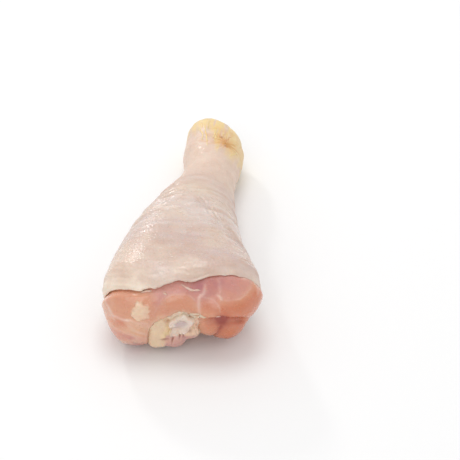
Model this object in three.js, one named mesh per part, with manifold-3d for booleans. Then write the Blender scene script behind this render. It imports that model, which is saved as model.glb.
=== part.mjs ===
// A raw chicken drumstick, lying on its underside as it would on a tray: a loose sleeve of skin over
// the leg muscles, which show bare at the knee, and the shin bone that runs through them.
// Millimetres, +Z up, +Y from the knee to the hock. The origin is on the surface that it lies on,
// under the middle of the drumstick.
//
// Every form is a smooth union of spindles, one for each muscle or bone end, and each surface is
// wrapped round it: rays leave a spine inside the flesh and stop where they come out.

import * as THREE from "three";
import { mergeVertices } from "three/addons/utils/BufferGeometryUtils.js";
import Module from "manifold-3d";

// Driving dimensions
const SKIN_THICKNESS = 1.5;
const CLEARANCE = 0.3; // between skin, meat and bone
const MUSCLE_BLEND_CRISP = 1.6; // sharp furrows round the bare heads of the shin muscles
const MUSCLE_BLEND_SOFT = 3.2; // softer in the calf's membrane and under the skin
const BLEND_CHANGE = [6, 26]; // the stretch of Y over which one blend turns into the other
const BONE_BLEND = 1;
const CONTACT_ROUNDING = 1.2; // where the soft underside turns up from its flat spot
const RAY_LENGTH = 60;
const RAY_HALVINGS = 32;

// Middle of the drumstick's outline, which is moved to the origin.
const OUTLINE_MIDDLE = new THREE.Vector3(-2, 65.5, 0);

// Muscles: a head at the knee, a tail towards the hock, and how far the belly swells between them.
const CALF_MUSCLES = {
  outer: spindle([-16.3, 14, 19.6], 15.2, [-1.5, 93, 12.5], 4.5, 4),
  inner: spindle([15.4, 14.5, 21.5], 12, [1.5, 74, 12.5], 4, -0.6),
  middle: spindle([-3, 10.2, 23], 11, [0, 78, 13.5], 5, 1),
  bridge: spindle([6.5, 13.5, 25.3], 8.4, [1, 70, 14], 5, 0),
  slip: spindle([9.3, 9, 20.5], 7.5, [1.5, 60, 14], 5, 0),
};
const SHIN_MUSCLES = {
  outer: spindle([-19.6, 7.6, 10.4], 10, [-2, 80, 9.5], 4, 1),
  inner: spindle([15, 9.8, 9.8], 7.3, [1.5, 78, 9.5], 4, 0),
  slip: spindle([8.6, 6.4, 11.3], 5.5, [1.5, 60, 11], 4, 0),
  under: spindle([-2, 17, 9.2], 7.2, [0, 75, 9.5], 4, 0),
  shank: spindle([-0.5, 45, 13], 5.2, [2.2, 106, 10.8], 9.2, 0),
  hockOuter: spindle([-1.6, 115.5, 10.6], 6.8, [-2.2, 126.5, 12], 6.2, 0),
  hockInner: spindle([5, 117.5, 10.2], 6.8, [4.6, 122.5, 10.2], 6.4, 0),
};

// Bone: the head of the shin bone at the knee, its shaft, and the two condyles of the hock.
const BONE = {
  headKnob: spindle([-11, 2.5, 16.6], 4.7, [-10.8, 2.6, 7.2], 4.8, 0),
  headPlateau: spindle([-2.6, 3.7, 19.7], 6.3, [2.7, 4, 20], 5.6, 0),
  headLower: spindle([-4.5, 3.8, 7.2], 5, [-4, 12, 11], 4, 0),
  headInner: spindle([1.6, 4.3, 11.6], 4.9, [-1, 8, 11], 4.5, 0),
  shaft: spindle([-4, 10, 12], 5, [2, 113, 10.5], 4.2, 0),
  condyleOuter: spindle([-2, 113, 10.8], 4, [-2.2, 126.5, 11.4], 4.7, 0),
  condyleInner: spindle([4.2, 113, 10.3], 4, [4.2, 124, 9.8], 4.7, 0),
};
const PLATEAU_DISH = { centre: new THREE.Vector3(-0.5, -7.3, 17.2), radius: 6.2 };

// Where the meat stops at the hock, drawn back from the bone's end and facing slightly down.
const HOCK_CUT = {
  point: new THREE.Vector3(1.2, 127, 11),
  normal: new THREE.Vector3(0.15, 0.94, -0.3).normalize(),
};
const HOCK_CUT_ROUNDING = 1;

// Knee edge of the skin: how many degrees it leans forward underneath, further over the top, and less
// on the inner side. Bulges draw it forward or back round an angle, in millimetres.
const KNEE_EDGE = { lean: 13, topLean: 38.5, topSharpness: 2.2, innerLean: 11.5 };
const KNEE_EDGE_BULGES = [
  { middle: 1.13, spread: 0.22, length: -2.2 }, // over the inner calf
  { middle: 2.2, spread: 0.5, length: -2.3 }, // fat over the outer calf
  { middle: 3.55, spread: 0.5, length: 6.5 }, // drawn back on the outer side
];
const KNEE_EDGE_WAVES = [
  { count: 7, height: 0.25, phase: 0 },
  { count: 11, height: 0.2, phase: 2 },
];

// Where the bare muscles swell out of the sleeve, beside its knee edge: an angle, a spread and a height.
const BARE_SWELLS = [
  { middle: 3.02, spread: 0.42, height: 3 }, // outer side
  { middle: 0.13, spread: 0.32, height: 1.7 }, // inner side
];
const SWELL_FROM_EDGE = [0.9, 4.5]; // how far from the edge the swelling starts and is full
const SWELL_FROM_POLE = [4, 20]; // and how it fades towards the middle of the knee

// Spines: rays leave square to the spine between its ends, and fan out round each end.
const FLESH_SPINE = spine([-2, 23, 17], 38, [1.8, 117.5, 11], 18);
const BONE_SPINE = spine([-4.5, 8, 11.5], 16, [1.2, 119, 10.8], 14);

// Grid sizes
const COLUMNS = 48;
const BARE_ROWS = 14;
const COVERED_ROWS = 26;
const HOCK_END_ROWS = 4;
const HEM_STEPS = 3;
const BONE_COLUMNS = 24;
const BONE_ROWS = 34;

const wasm = await Module();
wasm.setup();

// A tapered capsule that swells by belly halfway between its head and its tail.
function spindle(head, headRadius, tail, tailRadius, belly) {
  const start = new THREE.Vector3(...head);
  const axis = new THREE.Vector3(...tail).sub(start);
  return { start, axis, headRadius, tailRadius, belly };
}

// How far a point is outside a spindle, negative inside.
function spindleDistance(point, { start, axis, headRadius, tailRadius, belly }) {
  const offset = point.clone().sub(start);
  const share = THREE.MathUtils.clamp(offset.dot(axis) / axis.lengthSq(), 0, 1);
  const swell = belly * 4 * share * (1 - share);
  const radius = THREE.MathUtils.lerp(headRadius, tailRadius, share) + swell;
  return offset.addScaledVector(axis, -share).length() - radius;
}

// Distance outside a smooth union, from the distances outside its members.
function smoothUnion(distances, blend) {
  const sum = distances.reduce((total, distance) => total + Math.exp(-distance / blend), 0);
  return -blend * Math.log(sum);
}

// How far a point is outside the smooth union of several spindles.
function unionDistance(point, pieces, blend) {
  return smoothUnion(Object.values(pieces).map((piece) => spindleDistance(point, piece)), blend);
}

// The larger of two distances, with the corner between them rounded.
function roundedMax(a, b, rounding) {
  const share = THREE.MathUtils.clamp(0.5 + (a - b) / (2 * rounding), 0, 1);
  return THREE.MathUtils.lerp(b, a, share) + rounding * share * (1 - share);
}

// The muscles, grown outwards by grow and flattened where the drumstick lies on its underside. The
// calf muscles lie in one membrane and run together softly.
function fleshDistance(point, grow) {
  const covered = THREE.MathUtils.smoothstep(point.y, ...BLEND_CHANGE);
  const blend = THREE.MathUtils.lerp(MUSCLE_BLEND_CRISP, MUSCLE_BLEND_SOFT, covered);
  const calf = unionDistance(point, CALF_MUSCLES, MUSCLE_BLEND_SOFT);
  const shin = unionDistance(point, SHIN_MUSCLES, blend);
  const underside = SKIN_THICKNESS + CLEARANCE - grow;
  return roundedMax(smoothUnion([calf, shin], blend) - grow, underside - point.z, CONTACT_ROUNDING);
}

// The muscles where they end in the open hock.
function hockEndDistance(point) {
  const pastCut = point.clone().sub(HOCK_CUT.point).dot(HOCK_CUT.normal);
  return roundedMax(fleshDistance(point, 0), pastCut, HOCK_CUT_ROUNDING);
}

// The bone, grown outwards by grow, with a shallow dish in the plateau that met the thigh bone.
function boneDistance(point, grow) {
  const dish = PLATEAU_DISH.radius - point.distanceTo(PLATEAU_DISH.centre);
  return roundedMax(unionDistance(point, BONE, BONE_BLEND), dish, BONE_BLEND) - grow;
}

// A straight spine with the length of arc that each fanned end takes up.
function spine(from, fromArc, to, toArc) {
  const start = new THREE.Vector3(...from);
  const axis = new THREE.Vector3(...to).sub(start);
  const length = axis.length();
  axis.normalize();
  const side = new THREE.Vector3(1, 0, 0).addScaledVector(axis, -axis.x).normalize();
  const up = side.clone().cross(axis);
  return { start, axis, side, up, fromArc, length, toArc, arc: fromArc + length + toArc };
}

// The ray at an arc length along the spine, from its knee pole, and an angle round it.
function spineRay(line, arc, angle) {
  const past = arc - line.fromArc;
  const fan = past < 0 ? past / line.fromArc : Math.max(0, past - line.length) / line.toArc;
  const tilt = (fan * Math.PI) / 2;
  const along = THREE.MathUtils.clamp(past, 0, line.length);
  const origin = line.start.clone().addScaledVector(line.axis, along);
  const direction = line.axis.clone().multiplyScalar(Math.sin(tilt));
  direction.addScaledVector(line.side, Math.cos(tilt) * Math.cos(angle));
  direction.addScaledVector(line.up, Math.cos(tilt) * Math.sin(angle));
  return new THREE.Ray(origin, direction);
}

// The point where a ray comes out of a form, found by halving.
function wayOut(ray, distance) {
  let inside = 0;
  let outside = RAY_LENGTH;
  const point = new THREE.Vector3();
  for (let i = 0; i < RAY_HALVINGS; i++) {
    const middle = (inside + outside) / 2;
    if (distance(ray.at(middle, point)) > 0) outside = middle;
    else inside = middle;
  }
  return ray.at(outside, point);
}

const onFlesh = (arc, angle, grow) =>
  wayOut(spineRay(FLESH_SPINE, arc, angle), (point) => fleshDistance(point, grow));
const onBone = (arc, angle, grow) =>
  wayOut(spineRay(BONE_SPINE, arc, angle), (point) => boneDistance(point, grow));
const onHockEnd = (arc, angle) =>
  wayOut(spineRay(FLESH_SPINE, arc, angle), (point) => hockEndDistance(point));

// Arc length of the skin's edge at the knee, at an angle from +X towards the top.
function kneeEdge(angle) {
  const topness = Math.pow((1 + Math.sin(angle)) / 2, KNEE_EDGE.topSharpness);
  const lean = KNEE_EDGE.lean + KNEE_EDGE.topLean * topness - KNEE_EDGE.innerLean * Math.cos(angle);
  let arc = FLESH_SPINE.fromArc * (1 - lean / 90);
  for (const { middle, spread, length } of KNEE_EDGE_BULGES)
    arc += length * Math.exp(-(((angle - middle) / spread) ** 2));
  for (const { count, height, phase } of KNEE_EDGE_WAVES) arc += height * Math.sin(count * angle + phase);
  return arc;
}

// How far the bare muscles stand out beside the skin's knee edge.
function bareSwell(arc, angle) {
  const { smoothstep } = THREE.MathUtils;
  const length = smoothstep(kneeEdge(angle) - arc, ...SWELL_FROM_EDGE) * smoothstep(arc, ...SWELL_FROM_POLE);
  let height = 0;
  for (const swell of BARE_SWELLS) {
    const turn = Math.atan2(Math.sin(angle - swell.middle), Math.cos(angle - swell.middle));
    height += swell.height * Math.exp(-((turn / swell.spread) ** 2));
  }
  return height * length;
}

// Arc length of the skin's edge round the open end of the hock, which reaches further over the top.
function hockEdge(angle) {
  return FLESH_SPINE.arc - FLESH_SPINE.toArc * (0.4 - 0.18 * Math.sin(angle));
}

// Arc length of a row at a share of the way from the knee to just short of the skin, from one edge
// of the skin to the other, and on to the end of the hock.
const bareArc = (share, angle) => share * (kneeEdge(angle) - SKIN_THICKNESS);
const coveredArc = (share, angle) => THREE.MathUtils.lerp(kneeEdge(angle), hockEdge(angle), share);
const hockEndArc = (share, angle) => THREE.MathUtils.lerp(hockEdge(angle), FLESH_SPINE.arc, share);

// Joins rings of points into triangles that face out, with each quad split along its shorter
// diagonal. A sphere-like surface has a point at each end, and a tube-like one joins its last ring
// to its first.
function ringsGeometry(rings, firstPole, lastPole) {
  const columns = rings[0].length;
  const points = rings.flat();
  const triangles = [];
  const at = (row, column) => row * columns + (column % columns);
  const closes = !firstPole;
  for (let row = 0; row < rings.length - (closes ? 0 : 1); row++) {
    const next = (row + 1) % rings.length;
    for (let c = 0; c < columns; c++) {
      const [a, b, d, e] = [at(row, c), at(next, c), at(next, c + 1), at(row, c + 1)];
      const splitsAtA = points[a].distanceTo(points[d]) < points[b].distanceTo(points[e]);
      triangles.push(...(splitsAtA ? [a, b, d, a, d, e] : [a, b, e, b, d, e]));
    }
  }
  if (!closes) {
    const first = points.push(firstPole) - 1;
    const last = points.push(lastPole) - 1;
    for (let c = 0; c < columns; c++) {
      triangles.push(first, at(0, c), at(0, c + 1));
      triangles.push(last, at(rings.length - 1, c + 1), at(rings.length - 1, c));
    }
  }
  return new THREE.BufferGeometry().setFromPoints(points).setIndex(triangles);
}

// One ring of points round a spine.
function ring(columns, pointAt) {
  return Array.from({ length: columns }, (_, c) => pointAt((2 * Math.PI * c) / columns));
}

// The whole mass of muscle, with rows that follow the skin's edges.
function fleshGeometry() {
  const rings = [];
  const onBare = (arc, a) => onFlesh(arc, a, bareSwell(arc, a));
  for (let i = 1; i <= BARE_ROWS; i++)
    rings.push(ring(COLUMNS, (a) => onBare(bareArc(i / BARE_ROWS, a), a)));
  for (let i = 0; i <= COVERED_ROWS; i++)
    rings.push(ring(COLUMNS, (a) => onFlesh(coveredArc(i / COVERED_ROWS, a), a, 0)));
  for (let i = 1; i < HOCK_END_ROWS; i++)
    rings.push(ring(COLUMNS, (a) => onHockEnd(hockEndArc(i / HOCK_END_ROWS, a), a)));
  return ringsGeometry(rings, onFlesh(0, 0, 0), onHockEnd(FLESH_SPINE.arc, 0));
}

// The sleeve of skin: its outside from knee to hock, a rounded hem, its inside back to the knee, and
// the other hem.
function skinGeometry() {
  const half = SKIN_THICKNESS / 2;
  const hem = (edge, way) =>
    Array.from({ length: HEM_STEPS }, (_, i) => {
      const turn = ((i + 1) / (HEM_STEPS + 1)) * Math.PI;
      const grow = CLEARANCE + half + way * half * Math.cos(turn);
      return ring(COLUMNS, (a) => onFlesh(edge(a) + way * half * Math.sin(turn), a, grow));
    });
  const side = (grow) =>
    Array.from({ length: COVERED_ROWS + 1 }, (_, i) =>
      ring(COLUMNS, (a) => onFlesh(coveredArc(i / COVERED_ROWS, a), a, grow)),
    );
  const outside = side(CLEARANCE + SKIN_THICKNESS);
  const inside = side(CLEARANCE).reverse();
  return ringsGeometry([...outside, ...hem(hockEdge, 1), ...inside, ...hem(kneeEdge, -1)]);
}

// The bone, or the channel that it lies in when grown by the clearance.
function boneGeometry(grow) {
  const rings = [];
  for (let i = 1; i < BONE_ROWS; i++)
    rings.push(ring(BONE_COLUMNS, (a) => onBone((i / BONE_ROWS) * BONE_SPINE.arc, a, grow)));
  return ringsGeometry(rings, onBone(0, 0, grow), onBone(BONE_SPINE.arc, 0, grow));
}

function toSolid(geometry) {
  const merged = mergeVertices(geometry);
  return new wasm.Manifold(
    new wasm.Mesh({
      numProp: 3,
      vertProperties: merged.getAttribute("position").array,
      triVerts: new Uint32Array(merged.index.array),
    }),
  );
}

function toGeometry(solid) {
  const { vertProperties, triVerts } = solid.getMesh();
  const geometry = new THREE.BufferGeometry();
  geometry.setAttribute("position", new THREE.BufferAttribute(vertProperties, 3));
  geometry.setIndex(new THREE.BufferAttribute(triVerts, 1));
  return geometry;
}

// The muscles with a channel through them for the bone.
function meatGeometry() {
  return toGeometry(toSolid(fleshGeometry()).subtract(toSolid(boneGeometry(CLEARANCE))));
}

function piece(name, geometry, color, roughness) {
  geometry.computeVertexNormals();
  const mesh = new THREE.Mesh(geometry, new THREE.MeshStandardMaterial({ color, roughness, metalness: 0 }));
  mesh.name = name;
  return mesh;
}

const pieces = new THREE.Group();
pieces.add(piece("meat", meatGeometry(), 0xd2957a, 0.35));
pieces.add(piece("skin", skinGeometry(), 0xe3cdc0, 0.4));
pieces.add(piece("bone", boneGeometry(0), 0xdcc6b4, 0.4));
pieces.position.copy(OUTLINE_MIDDLE).negate();

const drumstick = new THREE.Group();
drumstick.add(pieces);

export default drumstick;
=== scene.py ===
"""Looks of a raw chicken drumstick: dimpled skin, bare muscle and the ends of the shin bone.

Shapes are worked out in leg millimetres: the knee joint is near y = 0, the hock lies towards +y, and
the surface that the drumstick lies on is z = 0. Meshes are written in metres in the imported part's frame.
"""

import logging
import math
from dataclasses import dataclass
from enum import Enum
from typing import Callable, Iterable

import bpy
import numpy as np
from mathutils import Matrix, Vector


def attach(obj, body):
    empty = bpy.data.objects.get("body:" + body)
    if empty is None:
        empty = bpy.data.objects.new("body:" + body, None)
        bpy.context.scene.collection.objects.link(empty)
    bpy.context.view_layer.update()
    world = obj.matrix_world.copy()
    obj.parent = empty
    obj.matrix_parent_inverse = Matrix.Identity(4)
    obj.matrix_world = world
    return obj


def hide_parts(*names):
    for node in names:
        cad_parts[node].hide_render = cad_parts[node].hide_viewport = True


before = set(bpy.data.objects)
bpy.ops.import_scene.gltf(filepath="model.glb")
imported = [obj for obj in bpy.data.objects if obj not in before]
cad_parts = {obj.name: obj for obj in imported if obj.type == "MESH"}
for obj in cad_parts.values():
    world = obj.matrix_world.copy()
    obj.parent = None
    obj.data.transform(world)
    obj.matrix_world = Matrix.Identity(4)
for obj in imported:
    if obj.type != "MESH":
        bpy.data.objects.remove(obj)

Object = bpy.types.Object
Material = bpy.types.Material
Node = bpy.types.Node
Socket = bpy.types.NodeSocket
Tree = bpy.types.NodeTree
Array = np.ndarray
Field = Callable[[Array], Array]
Masks = dict[str, Array]
Point = tuple[float, float, float]
Colour = tuple[float, float, float]

LOG = logging.getLogger("drumstick")
MM = 0.001
BODY = "root"

LEG_TO_PART = np.array((2.0, -65.5, 0.0))  # shift from leg millimetres to the part's own frame
SKIN_THICKNESS = 1.5
CLEARANCE = 0.3
COVER = SKIN_THICKNESS + CLEARANCE
FAR_AWAY = 9.0  # millimetres, for what has no near neighbour
JOINT = (0.0, 0.0, 15.0)  # middle of the open knee joint
CUT_SLANT = 41.0  # degrees that the joint's open face leans back
CUT_TURN = 6.0  # degrees that it turns to the inner side, which is +x
JOINT_BORDER = (
    (-14.9, -6.0), (-14.3, -2.3), (-13.5, 0.0), (-12.0, 1.7), (-10.1, 2.5), (-7.5, 3.3), (-5.8, 3.8),
    (-2.9, 4.5), (-0.5, 4.8), (1.9, 4.4), (4.2, 3.7), (5.6, 2.9), (6.2, -4.0), (6.4, -9.0),
)  # where the flesh stops round the open joint: millimetres across its face and up it


# Arithmetic on whole arrays

SCRAMBLE = (374761393, 668265263, 974634777)  # large odd numbers for x, y and z of a lattice cell
SALT_SCRAMBLE = 144665
LAST_SCRAMBLE = 1274126177
HASH_BITS = 0xFFFFFF
JITTER = 0.42  # how far a spot strays from the middle of its cell, in cells
HALVINGS = 24  # steps of the search for a surface along a ray


def ramp(value: Array, low: float, high: float) -> Array:
    """Smooth step from 0 at low to 1 at high, by 3t^2 - 2t^3."""
    share = np.clip((value - low) / (high - low), 0.0, 1.0)
    return share * share * (3.0 - 2.0 * share)


def fall(value: Array, low: float, high: float) -> Array:
    """Smooth step from 1 at low to 0 at high."""
    return 1.0 - ramp(value, low, high)


def window(value: Array, start: tuple[float, float], end: tuple[float, float]) -> Array:
    """Smooth step up over the start times a smooth step down over the end."""
    return ramp(value, *start) * fall(value, *end)


def bell(value: Array, width: float) -> Array:
    """Bell curve exp(-(value / width)^2)."""
    return np.exp(-np.square(value / width))


def rounded_max(a: Array, b: Array, rounding: float) -> Array:
    """Larger of a and b, with a parabola of that rounding across the corner between them."""
    share = np.clip(0.5 + (a - b) / (2.0 * rounding), 0.0, 1.0)
    return b + (a - b) * share + rounding * share * (1.0 - share)


def lattice(cells: Array, salt: int) -> Array:
    """Scrambles whole-number cells into numbers that look random and never change.

    Args:
        cells: whole numbers, with x, y and z on the last axis.
        salt: picks one of many scrambles.

    Returns:
        One number from -1 to 1 for each cell.
    """
    cell = cells.astype(np.int64)
    mixed = cell @ np.array(SCRAMBLE) + salt * SALT_SCRAMBLE
    mixed = (mixed ^ (mixed >> 13)) * LAST_SCRAMBLE
    mixed = (mixed ^ (mixed >> 16)) & HASH_BITS
    return mixed / float(HASH_BITS // 2) - 1.0


def noise(points: Array, size: float | Point, salt: int) -> Array:
    """Value noise: lattice numbers blended across each cell by 3t^2 - 2t^3 in x, y and z.

    Args:
        points: places in millimetres.
        size: the size of a cell, or its size along x, y and z.
        salt: picks one of many noises.

    Returns:
        One number from -1 to 1 for each point.
    """
    scaled = points / np.asarray(size, float)
    base = np.floor(scaled)
    share = scaled - base
    share = share * share * (3.0 - 2.0 * share)
    total = np.zeros(points.shape[:-1])
    for corner in np.ndindex(2, 2, 2):
        weight = np.prod(np.where(np.array(corner) > 0, share, 1.0 - share), axis=-1)
        total += weight * lattice(base + np.array(corner), salt)
    return total


def pores(points: Array, size: float, salt: int) -> Array:
    """Distance to the nearest of a scatter of spots, one placed at random in each lattice cell.

    Args:
        points: places in millimetres.
        size: the size of a cell.
        salt: picks one of many scatters.

    Returns:
        Distance in millimetres for each point.
    """
    scaled = points / size
    base = np.floor(scaled)
    nearest = np.full(points.shape[:-1], np.inf)
    for step in np.ndindex(3, 3, 3):
        cell = base + np.array(step) - 1.0
        jitter = np.stack([lattice(cell, salt + axis) for axis in range(3)], axis=-1)
        away = np.linalg.norm(scaled - cell - 0.5 - JITTER * jitter, axis=-1)
        nearest = np.minimum(nearest, away)
    return nearest * size


# The forms that all pieces share


@dataclass(frozen=True)
class Spindle:
    """Tapered capsule that swells by belly halfway from its head to its tail."""

    head: Point
    head_radius: float
    tail: Point
    tail_radius: float
    belly: float = 0.0

    def distance(self, points: Array) -> Array:
        """How far points are outside: distance to the nearest place on the axis, less the radius there.

        Args:
            points: places in leg millimetres.

        Returns:
            Millimetres, negative inside.
        """
        head = np.array(self.head)
        axis = np.array(self.tail) - head
        offset = points - head
        share = np.clip(offset @ axis / (axis @ axis), 0.0, 1.0)
        swell = self.belly * 4.0 * share * (1.0 - share)
        radius = self.head_radius + (self.tail_radius - self.head_radius) * share + swell
        return np.linalg.norm(offset - share[..., None] * axis, axis=-1) - radius


class Muscle(Enum):
    """The muscles of the leg and the flesh of the hock."""

    CALF_OUTER = Spindle((-16.3, 14.0, 19.6), 15.2, (-1.5, 93.0, 12.5), 4.5, 4.0)
    CALF_INNER = Spindle((15.4, 14.5, 21.5), 12.0, (1.5, 74.0, 12.5), 4.0, -0.6)
    CALF_MIDDLE = Spindle((-3.0, 10.2, 23.0), 11.0, (0.0, 78.0, 13.5), 5.0, 1.0)
    CALF_BRIDGE = Spindle((6.5, 13.5, 25.3), 8.4, (1.0, 70.0, 14.0), 5.0)
    CALF_SLIP = Spindle((9.3, 9.0, 20.5), 7.5, (1.5, 60.0, 14.0), 5.0)
    SHIN_OUTER = Spindle((-19.6, 7.6, 10.4), 10.0, (-2.0, 80.0, 9.5), 4.0, 1.0)
    SHIN_INNER = Spindle((15.0, 10.4, 10.4), 7.2, (1.5, 78.0, 9.5), 4.0)
    SHIN_SLIP = Spindle((8.7, 7.2, 12.4), 5.3, (1.5, 60.0, 11.0), 4.0)
    SHIN_UNDER = Spindle((-2.0, 17.0, 9.2), 7.2, (0.0, 75.0, 9.5), 4.0)
    SHANK = Spindle((-0.5, 45.0, 13.0), 5.2, (2.2, 106.0, 10.8), 9.2)
    HOCK_OUTER = Spindle((-1.6, 115.5, 10.6), 6.8, (-2.2, 126.5, 12.0), 6.2)
    HOCK_INNER = Spindle((5.0, 117.5, 10.2), 6.8, (4.6, 122.5, 10.2), 6.4)


class BoneEnd(Enum):
    """The shaft of the shin bone and the knobs at its two ends."""

    HEAD_KNOB = Spindle((-11.0, 2.5, 16.6), 4.7, (-10.8, 2.6, 7.2), 4.8)
    HEAD_PLATEAU = Spindle((-2.6, 3.7, 19.7), 6.3, (2.7, 4.0, 20.0), 5.6)
    HEAD_LOWER = Spindle((-4.5, 3.8, 7.2), 5.0, (-4.0, 12.0, 11.0), 4.0)
    HEAD_INNER = Spindle((1.6, 4.3, 11.6), 4.9, (-1.0, 8.0, 11.0), 4.5)
    SHAFT = Spindle((-4.0, 10.0, 12.0), 5.0, (2.0, 113.0, 10.5), 4.2)
    CONDYLE_OUTER = Spindle((-2.0, 113.0, 10.8), 4.0, (-2.2, 126.5, 11.4), 4.7)
    CONDYLE_INNER = Spindle((4.2, 113.0, 10.3), 4.0, (4.2, 124.0, 9.8), 4.7)


CALF = (Muscle.CALF_OUTER, Muscle.CALF_INNER, Muscle.CALF_MIDDLE, Muscle.CALF_BRIDGE, Muscle.CALF_SLIP)
OTHER_MUSCLES = tuple(muscle for muscle in Muscle if muscle not in CALF)
LOBES = (Muscle.SHIN_SLIP, Muscle.SHIN_INNER)


def union_distance(points: Array, members: Iterable[Enum], blend: float | Array) -> Array:
    """Smooth union of spindles: -blend times the log of the sum of exp(-distance / blend).

    Args:
        points: places in leg millimetres.
        members: names whose values are spindles.
        blend: how softly they run together, in millimetres.

    Returns:
        Millimetres outside the union, negative inside.
    """
    total = np.zeros(points.shape[:-1])
    for member in members:
        total += np.exp(-member.value.distance(points) / blend)
    return -blend * np.log(total)


@dataclass(frozen=True)
class Spine:
    """Straight line inside a form. Rays leave square to it and fan out round its two ends."""

    start: Point
    start_arc: float
    end: Point
    end_arc: float

    @property
    def length(self) -> float:
        """Length of the straight part."""
        return float(np.linalg.norm(np.subtract(self.end, self.start)))

    @property
    def arc(self) -> float:
        """Length from one pole to the other: both fans and the straight part."""
        return self.start_arc + self.length + self.end_arc

    def axes(self) -> tuple[Array, Array, Array]:
        """Unit vectors along the spine, to its +X side and square to both.

        Returns:
            The three vectors.
        """
        axis = np.subtract(self.end, self.start) / self.length
        side = np.array((1.0, 0.0, 0.0)) - axis[0] * axis
        side /= np.linalg.norm(side)
        return axis, side, np.cross(side, axis)

    def rays(self, arc: Array, angle: Array) -> tuple[Array, Array]:
        """Rays at a length along the spine and an angle round it, tilted by up to 90 degrees in a fan.

        Args:
            arc: millimetres from the first pole.
            angle: radians round the axis, from +X towards up.

        Returns:
            The rays' origins and their unit directions.
        """
        axis, side, up = self.axes()
        past = arc - self.start_arc
        fan = np.where(past < 0.0, past / self.start_arc, np.maximum(past - self.length, 0.0) / self.end_arc)
        tilt = (fan * math.pi / 2.0)[..., None]
        origin = np.array(self.start) + np.clip(past, 0.0, self.length)[..., None] * axis
        around = np.cos(angle)[..., None] * side + np.sin(angle)[..., None] * up
        return origin, np.cos(tilt) * around + np.sin(tilt) * axis

    def place(self, points: Array) -> tuple[Array, Array]:
        """Arc and angle of the ray that passes through each point.

        Args:
            points: places in leg millimetres.

        Returns:
            Millimetres along from the first pole, and radians round the spine.
        """
        axis, side, up = self.axes()
        offset = points - np.array(self.start)
        past = offset @ axis
        across, above = offset @ side, offset @ up
        away = np.hypot(across, above)
        before = np.arctan2(np.minimum(past, 0.0), away) / (math.pi / 2.0) * self.start_arc
        after = np.arctan2(np.maximum(past - self.length, 0.0), away) / (math.pi / 2.0) * self.end_arc
        return self.start_arc + before + np.clip(past, 0.0, self.length) + after, np.arctan2(above, across)

    def wrap(self, arc: Array, angle: Array, outside: Field, reach: float) -> Array:
        """Places where the rays come out of a form, found by halving.

        Args:
            arc: millimetres from the first pole.
            angle: radians round the axis.
            outside: how far points are outside the form.
            reach: a length that is outside on every ray.

        Returns:
            One point for each ray.
        """
        origin, direction = self.rays(arc, angle)
        inner = np.zeros(arc.shape)
        outer = np.full(arc.shape, reach)
        for _ in range(HALVINGS):
            middle = (inner + outer) / 2.0
            is_out = outside(origin + middle[..., None] * direction) > 0.0
            outer = np.where(is_out, middle, outer)
            inner = np.where(is_out, inner, middle)
        return origin + outer[..., None] * direction


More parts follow.
